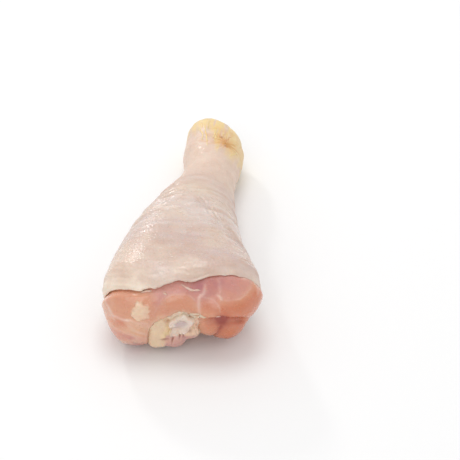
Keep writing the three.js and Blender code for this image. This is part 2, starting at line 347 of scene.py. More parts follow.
@dataclass(frozen=True)
class Flesh:
    """The mass of muscle: crisp furrows where it is bare, softer ones under the skin."""

    blend_bare: float = 1.6
    blend_covered: float = 3.2
    blend_change: tuple[float, float] = (6.0, 26.0)
    contact_rounding: float = 1.2
    spine: Spine = Spine((-2.0, 23.0, 17.0), 38.0, (1.8, 117.5, 11.0), 18.0)
    edge_lean: Point = (13.0, 38.5, -11.5)  # degrees all round, over the top and on the inner side
    edge_top: float = 2.2  # power that keeps the lean over the top to the top
    edge_waves: tuple[Point, ...] = ((0.25, 7.0, 0.0), (0.2, 11.0, 2.0))  # height, count and shift
    edge_bulges: tuple[Point, ...] = ((1.13, 0.22, -2.2), (2.2, 0.5, -2.3), (3.55, 0.5, 6.5))
    bare_swells: tuple[Point, ...] = ((3.02, 0.42, 2.7), (2.5, 0.4, 1.0), (0.13, 0.32, 1.7))
    swell_from_edge: tuple[float, float] = (-1.0, 2.2)
    swell_from_pole: tuple[float, float] = (4.0, 20.0)
    hock_hem: tuple[float, float] = (0.4, 0.18)  # the skin's edge in the hock's fan, and its lean to the top
    hock_cut: Point = (1.2, 127.0, 11.0)
    hock_cut_normal: Point = (0.15, 0.94, -0.3)
    reach: float = 46.0

    def distance(self, points: Array, grow: float | Array) -> Array:
        """Union of the muscles grown by grow, flattened where it lies on its underside.

        The calf muscles lie in one membrane and run together softly. The others have crisp furrows.

        Args:
            points: places in leg millimetres.
            grow: how far the surface is moved outwards.

        Returns:
            Millimetres outside, negative inside.
        """
        covered = ramp(points[..., 1], *self.blend_change)
        blend = self.blend_bare + (self.blend_covered - self.blend_bare) * covered
        calf = union_distance(points, CALF, self.blend_covered)
        others = union_distance(points, OTHER_MUSCLES, blend)
        muscles = -blend * np.logaddexp(-calf / blend, -others / blend) - grow
        return rounded_max(muscles, COVER - grow - points[..., 2], self.contact_rounding)

    def surface(self, arc: Array, angle: Array, grow: float | Array) -> Array:
        """Points of the flesh, grown outwards by grow, on the rays at arc and angle."""
        return self.spine.wrap(arc, angle, lambda points: self.distance(points, grow), self.reach)

    def hock_end(self, arc: Array, angle: Array) -> Array:
        """Points of the bare flesh with the hock's end cut off by a plane.

        Args:
            arc: millimetres from the knee pole.
            angle: radians round the spine.

        Returns:
            One point for each ray.
        """
        normal = np.array(self.hock_cut_normal) / np.linalg.norm(self.hock_cut_normal)

        def outside(points: Array) -> Array:
            """Larger of the distances outside the flesh and past the plane."""
            return rounded_max(self.distance(points, 0.0), (points - np.array(self.hock_cut)) @ normal, 1.0)

        return self.spine.wrap(arc, angle, outside, self.reach)

    def knee_edge(self, angle: Array) -> Array:
        """Arc length of the skin's edge at the knee: a leaning line with bulges and a slight wave.

        It leans forward underneath, further over the top, and less on the inner side.

        Args:
            angle: radians round the spine.

        Returns:
            Millimetres from the knee pole.
        """
        turn = np.mod(angle, 2.0 * math.pi)
        level, over_top, inner = self.edge_lean
        topness = np.power((1.0 + np.sin(turn)) / 2.0, self.edge_top)
        lean = level + over_top * topness + inner * np.cos(turn)
        arc = self.spine.start_arc * (1.0 - lean / 90.0)
        for middle, spread, length in self.edge_bulges:
            arc = arc + length * bell(turn - middle, spread)
        for height, count, shift in self.edge_waves:
            arc = arc + height * np.sin(count * turn + shift)
        return arc

    def bare_swell(self, arc: Array, angle: Array) -> Array:
        """How far the bare muscles swell out of the sleeve beside its knee edge.

        A bell curve round each swelling's angle, which grows from the edge and fades towards the pole.

        Args:
            arc: millimetres from the knee pole.
            angle: radians round the spine.

        Returns:
            Millimetres outwards.
        """
        length = ramp(self.knee_edge(angle) - arc, *self.swell_from_edge) * ramp(arc, *self.swell_from_pole)
        height = np.zeros(np.shape(angle))
        for middle, spread, peak in self.bare_swells:
            turn = np.arctan2(np.sin(angle - middle), np.cos(angle - middle))
            height = height + peak * bell(turn, spread)
        return height * length

    def bare(self, points: Array) -> Array:
        """Distance outside the muscles with their swellings beside the skin's edge."""
        return self.distance(points, self.bare_swell(*self.spine.place(points)))

    def hock_edge(self, angle: Array) -> Array:
        """Arc length of the skin's edge round the open hock, which reaches further over the top."""
        middle, lean = self.hock_hem
        return self.spine.arc - self.spine.end_arc * (middle - lean * np.sin(angle))

    def neighbours(self, points: Array) -> tuple[Array, Array, Array]:
        """Which muscle is nearest, which comes second, and how much further away the second is.

        Args:
            points: places in leg millimetres.

        Returns:
            Two arrays of positions in Muscle, and the difference in millimetres, 0 on a seam.
        """
        distances = np.stack([muscle.value.distance(points) for muscle in Muscle])
        order = np.argsort(distances, axis=0)[:2]
        gap = np.diff(np.take_along_axis(distances, order, axis=0), axis=0)[0]
        return order[0], order[1], gap


@dataclass(frozen=True)
class ShinBone:
    """The shin bone: a head with a dished plateau, a shaft, and two condyles at the hock."""

    blend: float = 1.0
    dish_centre: Point = (-0.5, -7.3, 17.2)
    dish_radius: float = 6.2
    spine: Spine = Spine((-4.5, 8.0, 11.5), 16.0, (1.2, 119.0, 10.8), 14.0)
    reach: float = 24.0

    def distance(self, points: Array) -> Array:
        """Union of the bone's spindles with the dish cut out of the plateau."""
        dish = self.dish_radius - np.linalg.norm(points - np.array(self.dish_centre), axis=-1)
        return rounded_max(union_distance(points, BoneEnd, self.blend), dish, self.blend)

    def surface(self, arc: Array, angle: Array) -> Array:
        """Points of the bone on the rays at arc and angle."""
        return self.spine.wrap(arc, angle, self.distance, self.reach)


FLESH = Flesh()
SHIN_BONE = ShinBone()


# Meshes


def column_angles(columns: int, rows: int) -> Array:
    """Angles of a grid's columns, once round without repeating the first, for every row."""
    return np.broadcast_to(np.linspace(0.0, 2.0 * math.pi, columns, endpoint=False), (rows, columns))


def grid_normals(points: Array) -> Array:
    """Outward unit normals of a grid: the cross product of its differences along rows and columns.

    Args:
        points: rows by columns of places, whose columns go once round.

    Returns:
        One unit vector for each point.
    """
    around = np.roll(points, -1, axis=1) - np.roll(points, 1, axis=1)
    normal = np.cross(np.gradient(points, axis=0), around)
    return normal / np.maximum(np.linalg.norm(normal, axis=-1, keepdims=True), 1e-9)


def grid_faces(rows: int, columns: int, closes: bool) -> tuple[Array, Array]:
    """Faces of a grid whose columns go once round.

    Args:
        rows: number of rows.
        columns: number of columns.
        closes: whether the last row joins the first. If not, two poles follow the grid's points.

    Returns:
        Quads of the grid, and triangles round the poles.
    """
    row = np.arange(rows if closes else rows - 1)[:, None]
    column = np.arange(columns)[None, :]
    after, right = (row + 1) % rows, (column + 1) % columns
    corners = ((row, column), (after, column), (after, right), (row, right))
    numbers = [down * columns + across for down, across in corners]
    quads = np.stack(np.broadcast_arrays(*numbers), axis=-1).reshape(-1, 4)
    if closes:
        return quads, np.zeros((0, 3), int)
    first, last = rows * columns, rows * columns + 1
    near = column[0]
    far = (rows - 1) * columns + column[0]
    start = np.stack([np.full(columns, first), near, right[0]], axis=-1)
    end = np.stack([np.full(columns, last), (rows - 1) * columns + right[0], far], axis=-1)
    return quads, np.concatenate([start, end])


def make_object(name: str, points: Array, quads: Array, triangles: Array) -> Object:
    """Makes a smooth mesh object from arrays, moved from leg millimetres to the part's frame in metres.

    Args:
        name: the piece's name.
        points: places in leg millimetres.
        quads: four point numbers for each quad.
        triangles: three point numbers for each triangle.

    Returns:
        The new object, linked to the scene.
    """
    places = (points.reshape(-1, 3) + LEG_TO_PART) * MM
    mesh = bpy.data.meshes.new(name)
    mesh.vertices.add(len(places))
    mesh.vertices.foreach_set("co", places.astype(np.float32).ravel())
    loops = np.concatenate([quads.ravel(), triangles.ravel()]).astype(np.int32)
    starts = np.concatenate([np.arange(len(quads)) * 4, quads.size + np.arange(len(triangles)) * 3])
    mesh.loops.add(len(loops))
    mesh.loops.foreach_set("vertex_index", loops)
    mesh.polygons.add(len(starts))
    mesh.polygons.foreach_set("loop_start", starts.astype(np.int32))
    mesh.update(calc_edges=True)
    mesh.shade_smooth()
    piece = bpy.data.objects.new(name, mesh)
    bpy.context.scene.collection.objects.link(piece)
    return piece


def set_masks(piece: Object, masks: Masks) -> None:
    """Stores numbers for each point of a piece, for its material to read.

    Args:
        piece: the mesh object.
        masks: numbers in the order of the points, by name.
    """
    for name, values in masks.items():
        attribute = piece.data.attributes.new(name, "FLOAT", "POINT")
        attribute.data.foreach_set("value", np.clip(values, 0.0, 1.0).astype(np.float32).ravel())


def with_poles(grid: Array, first: Array, last: Array) -> Array:
    """A grid's values as one list, with the values at its two poles at the end."""
    return np.concatenate([grid.reshape(-1, *grid.shape[2:]), first[None], last[None]])


def closed_piece(name: str, plain: Array, relief: Field, masks: Callable[[Array], Masks]) -> Object:
    """Makes a closed object from a grid: moved outwards by its relief, with a pole at both ends.

    Args:
        name: the piece's name.
        plain: rows by columns of places, without relief.
        relief: height in millimetres at each place.
        masks: where each colour lies.

    Returns:
        The new object with its masks.
    """
    points = plain + relief(plain)[..., None] * grid_normals(plain)
    poles = points[0].mean(axis=0), points[-1].mean(axis=0)
    piece = make_object(name, with_poles(points, *poles), *grid_faces(*plain.shape[:2], False))
    set_masks(piece, masks(with_poles(plain, *poles)))
    return piece


def settle(piece: Object, slot: str, material: Material) -> None:
    """Gives a piece its material, ties it to the part's body and reports it.

    Args:
        piece: the mesh object.
        slot: the material slot that the finish belongs to; not used.
        material: the material to wear.
    """
    piece.data.materials.append(material)
    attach(piece, BODY)
    triangles = sum(len(polygon.vertices) - 2 for polygon in piece.data.polygons)
    LOG.info("%s: %d triangles", piece.name, triangles)


# Materials

FILM_CELLS = 240.0  # patches of moisture for each metre
FINE_SHARE = 0.4  # height of the fine grain, as a share of the lumps it lies on
COAT_ROUGHNESS = 0.12
PATCH_SPAN = (0.38, 0.68)  # noise where a patch of the second colour starts and is full
SHADE_SCALE = 7.0  # how much finer the light and dark specks are than the patches
SHADES = (0.965, 1.03)  # darkest and lightest of the specks
FILM_SPAN = (0.35, 0.65)  # noise where the film of moisture starts and is full
FILM_THIN = 0.35  # coat where the film is thinnest, as a share
CALM_DULLS = 0.3  # roughness added where the relief is calm
SMALL_SCALE = 3.3  # how much finer the small grain is than the lumps
PEBBLE_SOFTNESS = 0.4
PEBBLE_REACH = 0.75  # distance from a pebble's top where it ends, in cells
LIGHT_REACH = (1.0, 0.42, 0.26)  # how far red, green and blue light goes into flesh, as shares


def srgb(red: int, green: int, blue: int) -> Colour:
    """Linear colour of a screen colour given from 0 to 255.

    Args:
        red: the screen's red.
        green: its green.
        blue: its blue.

    Returns:
        Red, green and blue from 0 to 1.
    """
    values = np.array((red, green, blue)) / 255.0
    linear = np.where(values <= 0.04045, values / 12.92, ((values + 0.055) / 1.055) ** 2.4)
    return tuple(float(value) for value in linear)


class Canvas:
    """Short ways to add and join the nodes of a material or of a node group."""

    def __init__(self, tree: Tree) -> None:
        """Keeps the tree, emptied of its nodes."""
        self.tree = tree
        tree.nodes.clear()

    def node(
        self, kind: str, inputs: dict[str | int, object] | None = None, **settings: object
    ) -> Node:
        """Adds a node.

        Args:
            kind: the node's type.
            inputs: values or sockets for its inputs, by name or number.
            settings: values for its own properties.

        Returns:
            The new node.
        """
        node = self.tree.nodes.new(kind)
        for name, value in settings.items():
            setattr(node, name, value)
        for key, value in (inputs or {}).items():
            self.feed(node.inputs[key], value)
        return node

    def feed(self, socket: Socket, value: object) -> None:
        """Links a socket to an input, or sets the input's value.

        Args:
            socket: the input.
            value: a socket, a number, a colour or a vector.
        """
        if isinstance(value, Socket):
            self.tree.links.new(value, socket)
        elif isinstance(value, tuple) and len(value) == 3 and socket.type == "RGBA":
            socket.default_value = (*value, 1.0)
        else:
            socket.default_value = value

    def noise(self, size: object, detail: float = 3.0, roughness: float = 0.55) -> Socket:
        """Noise on the piece's own coordinates.

        Args:
            size: noise scale in cells for each metre, a number or a socket.
            detail: octaves.
            roughness: how strong the fine octaves are.

        Returns:
            The socket of its value, around 0.5.
        """
        place = self.node("ShaderNodeTexCoord").outputs["Object"]
        inputs = {"Vector": place, "Scale": size, "Detail": detail, "Roughness": roughness}
        return self.node("ShaderNodeTexNoise", inputs).outputs[0]

    def math(self, operation: str, *values: object) -> Socket:
        """Result of a math node on values or sockets."""
        return self.node("ShaderNodeMath", dict(enumerate(values)), operation=operation).outputs[0]

    def span(self, *values: object) -> Socket:
        """Result of a map range node on a value, its low and high, and what they become."""
        return self.node("ShaderNodeMapRange", dict(enumerate(values))).outputs[0]

    def mix(self, share: object, below: object, above: object, blend: str = "MIX") -> Socket:
        """Colour mixed from below to above by a share.

        Args:
            share: 0 for below, 1 for above.
            below: the first colour.
            above: the second colour.
            blend: how the second is laid on the first.

        Returns:
            The socket of the mixed colour.
        """
        node = self.node("ShaderNodeMix", data_type="RGBA", blend_type=blend)
        for key, value in ((0, share), (6, below), (7, above)):
            self.feed(node.inputs[key], value)
        return node.outputs[2]

    def mask(self, name: str) -> Socket:
        """Number that the mesh stores for each of its points."""
        return self.node("ShaderNodeAttribute", attribute_name=name).outputs["Fac"]


def new_group(
    name: str, inputs: dict[str, str], outputs: dict[str, str]
) -> tuple[Tree, Canvas]:
    """Starts a shader node group.

    Args:
        name: the group's name.
        inputs: socket types by name.
        outputs: socket types by name.

    Returns:
        The group and a canvas to draw it on.
    """
    tree = bpy.data.node_groups.new(name, "ShaderNodeTree")
    for direction, sockets in (("INPUT", inputs), ("OUTPUT", outputs)):
        for label, kind in sockets.items():
            tree.interface.new_socket(label, in_out=direction, socket_type=kind)
    return tree, Canvas(tree)


class Groups:
    """Shader effects that every tissue shares, each built once."""

    def __init__(self) -> None:
        """Builds the groups."""
        self.mottle = self.build_mottle()
        self.moisture = self.build_moisture()
        self.grain = self.build_grain()

    @staticmethod
    def build_mottle() -> Tree:
        """Colour that wanders in patches towards a second colour and is a little lighter and darker.

        Returns:
            The group, with inputs Base, Drift, Size and Amount and output Colour.
        """
        number, colour = "NodeSocketFloat", "NodeSocketColor"
        tree, canvas = new_group(
            "mottle", {"Base": colour, "Drift": colour, "Size": number, "Amount": number}, {"Colour": colour}
        )
        given = canvas.node("NodeGroupInput").outputs
        patch = canvas.noise(given["Size"], 4.0)
        share = canvas.math("MULTIPLY", canvas.span(patch, *PATCH_SPAN, 0.0, 1.0), given["Amount"])
        drifted = canvas.mix(share, given["Base"], given["Drift"])
        fine = canvas.noise(canvas.math("MULTIPLY", given["Size"], SHADE_SCALE), 3.0)
        shade = canvas.span(fine, 0.3, 0.7, *SHADES)
        grey = canvas.node("ShaderNodeCombineColor", {0: shade, 1: shade, 2: shade}).outputs[0]
        result = canvas.mix(1.0, drifted, grey, "MULTIPLY")
        canvas.node("NodeGroupOutput", {"Colour": result})
        return tree

    @staticmethod
    def build_moisture() -> Tree:
        """Uneven wetness: patches of film that are smoother and more strongly coated.

        Returns:
            The group, with inputs Dry, Wet, Size, Film and Dull and outputs Roughness and Coat.
        """
        number = "NodeSocketFloat"
        tree, canvas = new_group(
            "moisture",
            {"Dry": number, "Wet": number, "Size": number, "Film": number, "Dull": number},
            {"Roughness": number, "Coat": number},
        )
        given = canvas.node("NodeGroupInput").outputs
        film = canvas.span(canvas.noise(given["Size"], 3.0), *FILM_SPAN, 0.0, 1.0)
        roughness = canvas.span(film, 0.0, 1.0, given["Dry"], given["Wet"])
        roughness = canvas.math("ADD", roughness, canvas.math("MULTIPLY", given["Dull"], CALM_DULLS))
        coat = canvas.math("MULTIPLY", canvas.span(film, 0.0, 1.0, FILM_THIN, 1.0), given["Film"])
        canvas.node("NodeGroupOutput", {"Roughness": roughness, "Coat": coat})
        return tree

    @staticmethod
    def build_grain() -> Tree:
        """Fine relief of moist tissue: soft lumps with smaller grain on them, and rounded pebbles.

        Returns:
            The group, with inputs Size, Fine, Pebbles and Calm and output Height.
        """
        number = "NodeSocketFloat"
        inputs = {"Size": number, "Fine": number, "Pebbles": number, "Calm": number}
        tree, canvas = new_group("grain", inputs, {"Height": number})
        given = canvas.node("NodeGroupInput").outputs
        lumps = canvas.noise(given["Size"], 2.0)
        small = canvas.noise(canvas.math("MULTIPLY", given["Size"], SMALL_SCALE), 2.0)
        height = canvas.math("ADD", lumps, canvas.math("MULTIPLY", small, given["Fine"]))
        cells = canvas.node("ShaderNodeTexVoronoi", {"Scale": given["Size"]}, feature="SMOOTH_F1")
        cells.inputs["Smoothness"].default_value = PEBBLE_SOFTNESS
        canvas.feed(cells.inputs["Vector"], canvas.node("ShaderNodeTexCoord").outputs["Object"])
        round_tops = canvas.span(cells.outputs["Distance"], 0.0, PEBBLE_REACH, 1.0, 0.0)
        height = canvas.math("ADD", height, canvas.math("MULTIPLY", round_tops, given["Pebbles"]))
        share = canvas.math("SUBTRACT", 1.0, given["Calm"])
        canvas.node("NodeGroupOutput", {"Height": canvas.math("MULTIPLY", height, share)})
        return tree


@dataclass(frozen=True)
class Paint:
    """A colour laid over the base where a mask of the mesh says so."""

    mask: str
    colour: Colour
    strength: float = 1.0


@dataclass(frozen=True)
class Finish:
    """Looks of one tissue: its colours, its wetness, its fine relief and how deep light enters.

    Sizes, heights and depths are in millimetres.
    """

    name: str
    base: Colour
    drift: Colour
    dry: float  # roughness without a film of moisture
    wet: float  # roughness under the film
    film: float  # coat weight of the film
    paints: tuple[Paint, ...] = ()
    marks: tuple[Paint, ...] = ()  # laid over the mottled colour
    drift_amount: float = 0.6
    patch_size: float = 2.0
    grain_size: float = 0.6
    grain_height: float = 0.03
    light_depth: float = 1.4
    light_share: float = 0.3
    pebbles: float = 0.0
    gloss: float = 0.5
    calm: str = ""  # mask that smooths the fine relief and dulls the film

    def material(self, groups: Groups) -> Material:
        """Builds the material: mottled base, painted masks, moisture, grain and scattered light.

        Args:
            groups: the shared shader effects.

        Returns:
            The material.
        """
        material = bpy.data.materials.new(self.name)
        material.use_nodes = True
        canvas = Canvas(material.node_tree)
        mottle = self.effect(
            canvas,
            groups.mottle,
            Base=self.painted(canvas, self.base, self.paints),
            Drift=self.drift,
            Size=1.0 / (self.patch_size * MM),
            Amount=self.drift_amount,
        )
        calm = canvas.mask(self.calm) if self.calm else 0.0
        wetness = {"Dry": self.dry, "Wet": self.wet, "Size": FILM_CELLS, "Film": self.film, "Dull": calm}
        moisture = self.effect(canvas, groups.moisture, **wetness)
        lumps = {"Size": 1.0 / (self.grain_size * MM), "Fine": FINE_SHARE, "Pebbles": self.pebbles}
        grain = self.effect(canvas, groups.grain, **lumps, Calm=calm)
        bump = canvas.node("ShaderNodeBump", {"Height": grain.outputs["Height"], "Strength": 1.0})
        bump.inputs["Distance"].default_value = self.grain_height * MM
        looks = {
            "Base Color": self.painted(canvas, mottle.outputs["Colour"], self.marks),
            "Roughness": moisture.outputs["Roughness"],
            "Coat Weight": moisture.outputs["Coat"],
            "Normal": bump.outputs["Normal"],
            "Coat Roughness": COAT_ROUGHNESS,
            "Specular IOR Level": self.gloss,
            "Subsurface Weight": self.light_share,
            "Subsurface Radius": LIGHT_REACH,
            "Subsurface Scale": self.light_depth * MM,
        }
        shader = canvas.node("ShaderNodeBsdfPrincipled", looks)
        canvas.node("ShaderNodeOutputMaterial", {"Surface": shader.outputs["BSDF"]})
        return material

    @staticmethod
    def effect(canvas: Canvas, tree: Tree, **values: object) -> Node:
        """Node of a shared effect, with numbers, colours or sockets for its inputs."""
        return canvas.node("ShaderNodeGroup", values, node_tree=tree)

    @staticmethod
    def painted(
        canvas: Canvas, colour: Socket | Colour, paints: tuple[Paint, ...]
    ) -> Socket | Colour:
        """Colour with each paint laid over it in turn.

        Args:
            canvas: the material's canvas.
            colour: what lies under the paints.
            paints: the paints, the lowest first.

        Returns:
            The socket of the painted colour, or the colour itself where nothing is painted.
        """
        for paint in paints:
            share = canvas.math("MULTIPLY", canvas.mask(paint.mask), paint.strength)
            colour = canvas.mix(share, colour, paint.colour)
        return colour


SKIN_FINISH = Finish(
    name="poultry_skin",
    base=srgb(203, 173, 159),
    drift=srgb(204, 172, 151),
    dry=0.38,
    wet=0.2,
    film=0.1,
    paints=(
        # paler on ripple crests and follicle bumps, darker in the valleys: painted highlight and shade on the
        # relief, over random tone
        Paint("veil", srgb(214, 192, 182), 0.85),
        # paler band round the upper thigh: painted sheen over a paler tone
        Paint("frost", srgb(228, 215, 208), 0.85),
        # lilac: thin skin where the meat shows through, and painted shade round the dimple
        Paint("lilac", srgb(200, 180, 181), 0.7),
        Paint("cream", srgb(234, 217, 194)),
        # rim: the cream roll of fat at the knee edge, painted paler on the outer side to lift its shade
        Paint("rim", srgb(247, 233, 213)),
        Paint("blush", srgb(232, 207, 187)),
    ),
    marks=(
        Paint("yellow", srgb(234, 206, 146)),
        Paint("streak", srgb(214, 156, 88)),
        Paint("speck", srgb(150, 88, 58)),
    ),
    drift_amount=0.45,
    patch_size=6.0,
    grain_size=1.1,
    grain_height=0.13,
    light_depth=0.8,
    light_share=0.15,
    pebbles=0.7,
    gloss=0.8,
    calm="calm",
)

MEAT_FINISH = Finish(
    name="raw_muscle",
    base=srgb(219, 157, 124),
    drift=srgb(210, 142, 118),
    dry=0.32,
    wet=0.16,
    film=0.3,
    paints=(
        Paint("amber", srgb(206, 120, 80)),
        Paint("honey", srgb(226, 180, 138)),
        Paint("pale", srgb(226, 186, 164)),
        Paint("pink", srgb(210, 148, 134)),
        Paint("violet", srgb(174, 104, 112)),
        Paint("line", srgb(236, 206, 190)),
        Paint("fat", srgb(234, 204, 174)),
        Paint("gristle", srgb(228, 196, 166)),
    ),
    # deep: painted shade in seams, the crevice and under overhangs, over the real dark red of the torn hock
    marks=(Paint("deep", srgb(158, 60, 40)),),
    drift_amount=0.5,
    patch_size=6.0,
    grain_size=1.4,
    grain_height=0.05,
    light_depth=2.0,
    gloss=0.7,
)

BONE_FINISH = Finish(
    name="cartilage",
    base=srgb(227, 200, 170),
    drift=srgb(220, 184, 158),
    dry=0.4,
    wet=0.22,
    film=0.35,
    paints=(
        Paint("rag", srgb(230, 192, 168)),
        Paint("yellow", srgb(236, 210, 160)),
        # amber: painted shade, orange-brown, in the small hollow beside the knob
        Paint("amber", srgb(208, 158, 112)),
        Paint("pink", srgb(206, 156, 148)),
        Paint("white", srgb(232, 215, 202)),
        Paint("hollow", srgb(205, 185, 182)),
    ),
    # deep: painted shade in the grooves, the crack, the gap and beside the plateau, and the real colour of a
    # bruise
    marks=(Paint("deep", srgb(152, 88, 66)),),
    drift_amount=0.5,
    patch_size=3.0,
    grain_size=1.0,
    grain_height=0.08,
    light_share=0.25,
)

FASCIA_FINISH = Finish(
    name="fascia_film",
    # pale like folds of membrane; on the folds placed where the flesh glints, this paleness is also painted
    # highlight
    base=srgb(228, 186, 168),
    drift=srgb(216, 160, 138),
    dry=0.16,
    wet=0.1,
    film=0.8,
    light_share=0.4,
    gloss=0.8,
)

FIBRE_FINISH = Finish(
    name="fibre",
    base=srgb(238, 204, 132),
    drift=srgb(240, 220, 176),
    dry=0.4,
    wet=0.26,
    film=0.2,
    drift_amount=0.7,
    light_depth=0.6,
    light_share=0.2,
)

TISSUE_FINISH = Finish(
    name="ligament",
    base=srgb(228, 198, 172),
    drift=srgb(216, 178, 154),
    dry=0.38,
    wet=0.22,
    film=0.8,
    grain_height=0.1,
)


# Sub-assemblies


def turned(angle: Array) -> Array:
    """Angle round the spine in degrees, from -90 underneath past 0 at +X and 90 on top to 270."""
    return np.degrees(np.mod(angle + math.pi / 2.0, 2.0 * math.pi)) - 90.0


def ridged(points: Array, size: float | Point, salt: int) -> Array:
    """Noise folded into creased ridges: 1 - 2.4 times the noise's absolute value."""
    return 1.0 - 2.4 * np.abs(noise(points, size, salt))


def facing_axes(elevation: float, azimuth: float) -> tuple[Array, Array, Array]:
    """Axes of a plane that faces a viewer at an elevation and an azimuth.

    Args:
        elevation: degrees above the horizontal.
        azimuth: degrees from the knee's end towards the inner side.

    Returns:
        Unit vectors across the plane, up it and towards the viewer.
    """
    lift, swing = math.radians(elevation), math.radians(azimuth)
    across = np.array((math.cos(swing), math.sin(swing), 0.0))
    facing = np.array((math.sin(swing) * math.cos(lift), -math.cos(swing) * math.cos(lift), math.sin(lift)))
    return across, np.cross(facing, across), facing


def on_cut(points: Array) -> tuple[Array, Array]:
    """Millimetres across and up the slanted face of the knee joint, from the joint's middle.

    Args:
        points: places in leg millimetres.

    Returns:
        How far each point is to the inner side, and how far up the slant.
    """
    offset = points - np.array(JOINT)
    across, up, _ = facing_axes(CUT_SLANT, CUT_TURN)
    return offset @ across, offset @ up


def above_joint(points: Array) -> Array:
    """Millimetres up the slant from the joint's border, which is a little ragged."""
    across, rise = on_cut(points)
    return rise - np.interp(across, *zip(*JOINT_BORDER)) + 0.35 * noise(points, 1.5, 59)


class Place:
    """A marked place that a shape or a colour fades out from."""

    def distance(self, points: Array) -> Array:
        """Distance from the middle as a share of the radius: 1 on the outline."""
        raise NotImplementedError

    def share(self, points: Array) -> Array:
        """Bell curve of the distance, 1 in the middle."""
        return bell(self.distance(points), 1.0)


@dataclass(frozen=True)
class Blob(Place):
    """An ellipsoid in space."""

    centre: Point
    radii: Point

    def distance(self, points: Array) -> Array:
        """Distance from the centre in units of the radii: 1 on the ellipsoid."""
        return np.linalg.norm((points - np.array(self.centre)) / np.array(self.radii), axis=-1)


@dataclass(frozen=True)
class Spot(Place):
    """An oval place on the slanted face of the joint."""

    across: float
    rise: float
    half_width: float
    half_height: float
    tilt: float = 0.0

    def distance(self, points: Array) -> Array:
        """Distance from the middle as a share of the oval's radius: 1 on its outline.

        Args:
            points: places in leg millimetres.

        Returns:
            One share for each point.
        """
        across, rise = on_cut(points)
        u, v = across - self.across, rise - self.rise
        turn = math.radians(self.tilt)
        along = (u * math.cos(turn) + v * math.sin(turn)) / self.half_width
        return np.hypot(along, (v * math.cos(turn) - u * math.sin(turn)) / self.half_height)


@dataclass(frozen=True)
class Strand:
    """A flat strand of tissue that lies on the surface along a few places."""

    places: tuple[Point, ...]
    width: float
    thickness: float
    strength: float = 1.0
    near_steps: int = 40  # points on the line that distances are measured from

    def course(self, steps: int) -> Array:
        """Smooth line through the places: the cubic that passes through each with its neighbours' slope.

        Args:
            steps: number of points on the line.

        Returns:
            The points.
        """
        knots = np.array(self.places)
        padded = np.concatenate([[2 * knots[0] - knots[1]], knots, [2 * knots[-1] - knots[-2]]])
        place = np.linspace(0.0, len(knots) - 1.0, steps)
        piece = np.minimum(place.astype(int), len(knots) - 2)
        t = (place - piece)[:, None]
        a, b, c, d = (padded[piece + step] for step in range(4))
        bend, twist = 2 * a - 5 * b + 4 * c - d, 3 * b - a - 3 * c + d
        return 0.5 * (2 * b + (c - a) * t + bend * t**2 + twist * t**3)

    def nearness(self, points: Array) -> Array:
        """Bell curve of the distance to the strand's course, half its width wide and weaker at its ends.

        Args:
            points: places in leg millimetres.

        Returns:
            Numbers from 0 to 1.
        """
        course = self.course(self.near_steps)
        flat = points.reshape(-1, 3)
        square = np.sum(flat**2, axis=1)[:, None] + np.sum(course**2, axis=1) - 2.0 * flat @ course.T
        nearest = np.argmin(square, axis=1)
        distance = np.sqrt(np.maximum(square[np.arange(len(flat)), nearest], 0.0))
        share = nearest / (len(course) - 1.0)
        ends = window(share, (-0.15, 0.15), (0.85, 1.15))
        return (bell(distance, self.width / 2.0) * ends).reshape(points.shape[:-1])


FASCIA_LINES = (
    Strand(
        ((7.8, 4.1, 32.3), (7.4, 2.0, 30.3), (5.7, 0.8, 28.7), (5.6, -0.8, 25.0), (5.9, -1.2, 22.0)),
        1.4, 0.12, 0.6,
    ),
    Strand(((12.5, 6.4, 33.3), (13.1, 4.3, 31.6), (13.5, 2.3, 29.4)), 1.4, 0.05, 0.35),
    Strand(((12.6, 2.2, 29.5), (13.6, 1.8, 28.8), (14.4, 1.1, 27.7)), 1.2, 0.16, 0.65),
    Strand(((7.5, 1.1, 28.9), (11.2, 0.8, 27.9), (13.2, -0.2, 25.8), (13.8, -1.2, 23.6)), 0.7, 0.03, 0.3),
    Strand(
        ((14.4, 1.1, 27.7), (19.7, 2.5, 27.3), (21.9, 4.0, 27.4), (24.1, 6.9, 28.4), (24.8, 9.8, 28.5)),
        0.8, 0.05, 0.35,
    ),
    Strand(
        ((20.9, 9.7, 31.8), (22.4, 10.3, 30.9), (24.6, 11.2, 28.9), (26.2, 10.6, 26.6), (27.0, 9.1, 25.4)),
        1.6, 0.3, 0.8,
    ),
    Strand(
        (
            (-30.8, 5.5, 23.6), (-29.5, 1.2, 21.4), (-27.7, -0.8, 19.5), (-24.5, -2.5, 19.0),
            (-20.1, -3.3, 19.2),
        ),
        1.3, 0.16, 0.95,
    ),
    Strand(
        ((-31.2, 5.0, 20.4), (-30.0, 1.4, 18.2), (-27.3, -1.1, 17.1), (-24.0, -2.7, 16.4)),
        0.9, 0.06, 0.3,
    ),
    Strand(
        ((-27.5, -0.9, 13.2), (-23.3, -2.8, 12.7), (-18.7, -2.8, 10.1), (-16.4, -2.0, 6.7)),
        1.2, 0.25, 0.25,
    ),
    Strand(
        (
            (-9.4, -1.3, 24.9), (-7.6, -0.4, 27.8), (-5.0, 0.3, 29.6), (-1.6, 0.6, 30.2), (1.8, 0.7, 29.7),
            (4.6, 0.0, 27.5),
        ),
        0.8, 0.03, 0.25,
    ),
    Strand(
        ((-7.0, 0.7, 29.9), (-8.8, -0.5, 27.3), (-10.6, -1.6, 24.0), (-11.9, -2.2, 20.9)),
        0.6, 0.05, 0.25,
    ),
    Strand(((-17.6, 1.2, 28.5), (-18.3, -0.6, 27.0), (-19.2, -1.5, 25.7)), 0.6, 0.04, 0.2),
    Strand(((13.6, -1.6, 20.9), (16.0, -1.2, 20.2), (18.1, -0.4, 19.8), (21.0, 2.2, 18.0)), 0.8, 0.1, 0.35),
)  # white lines between the muscles, raised a little from the flesh
MEMBRANE_STRIP = Strand(
    ((-6.5, 0.9, 30.5), (-8.8, -0.5, 27.3), (-10.6, -1.6, 24.0), (-11.9, -2.2, 20.9)), 4.2, 0.0
)
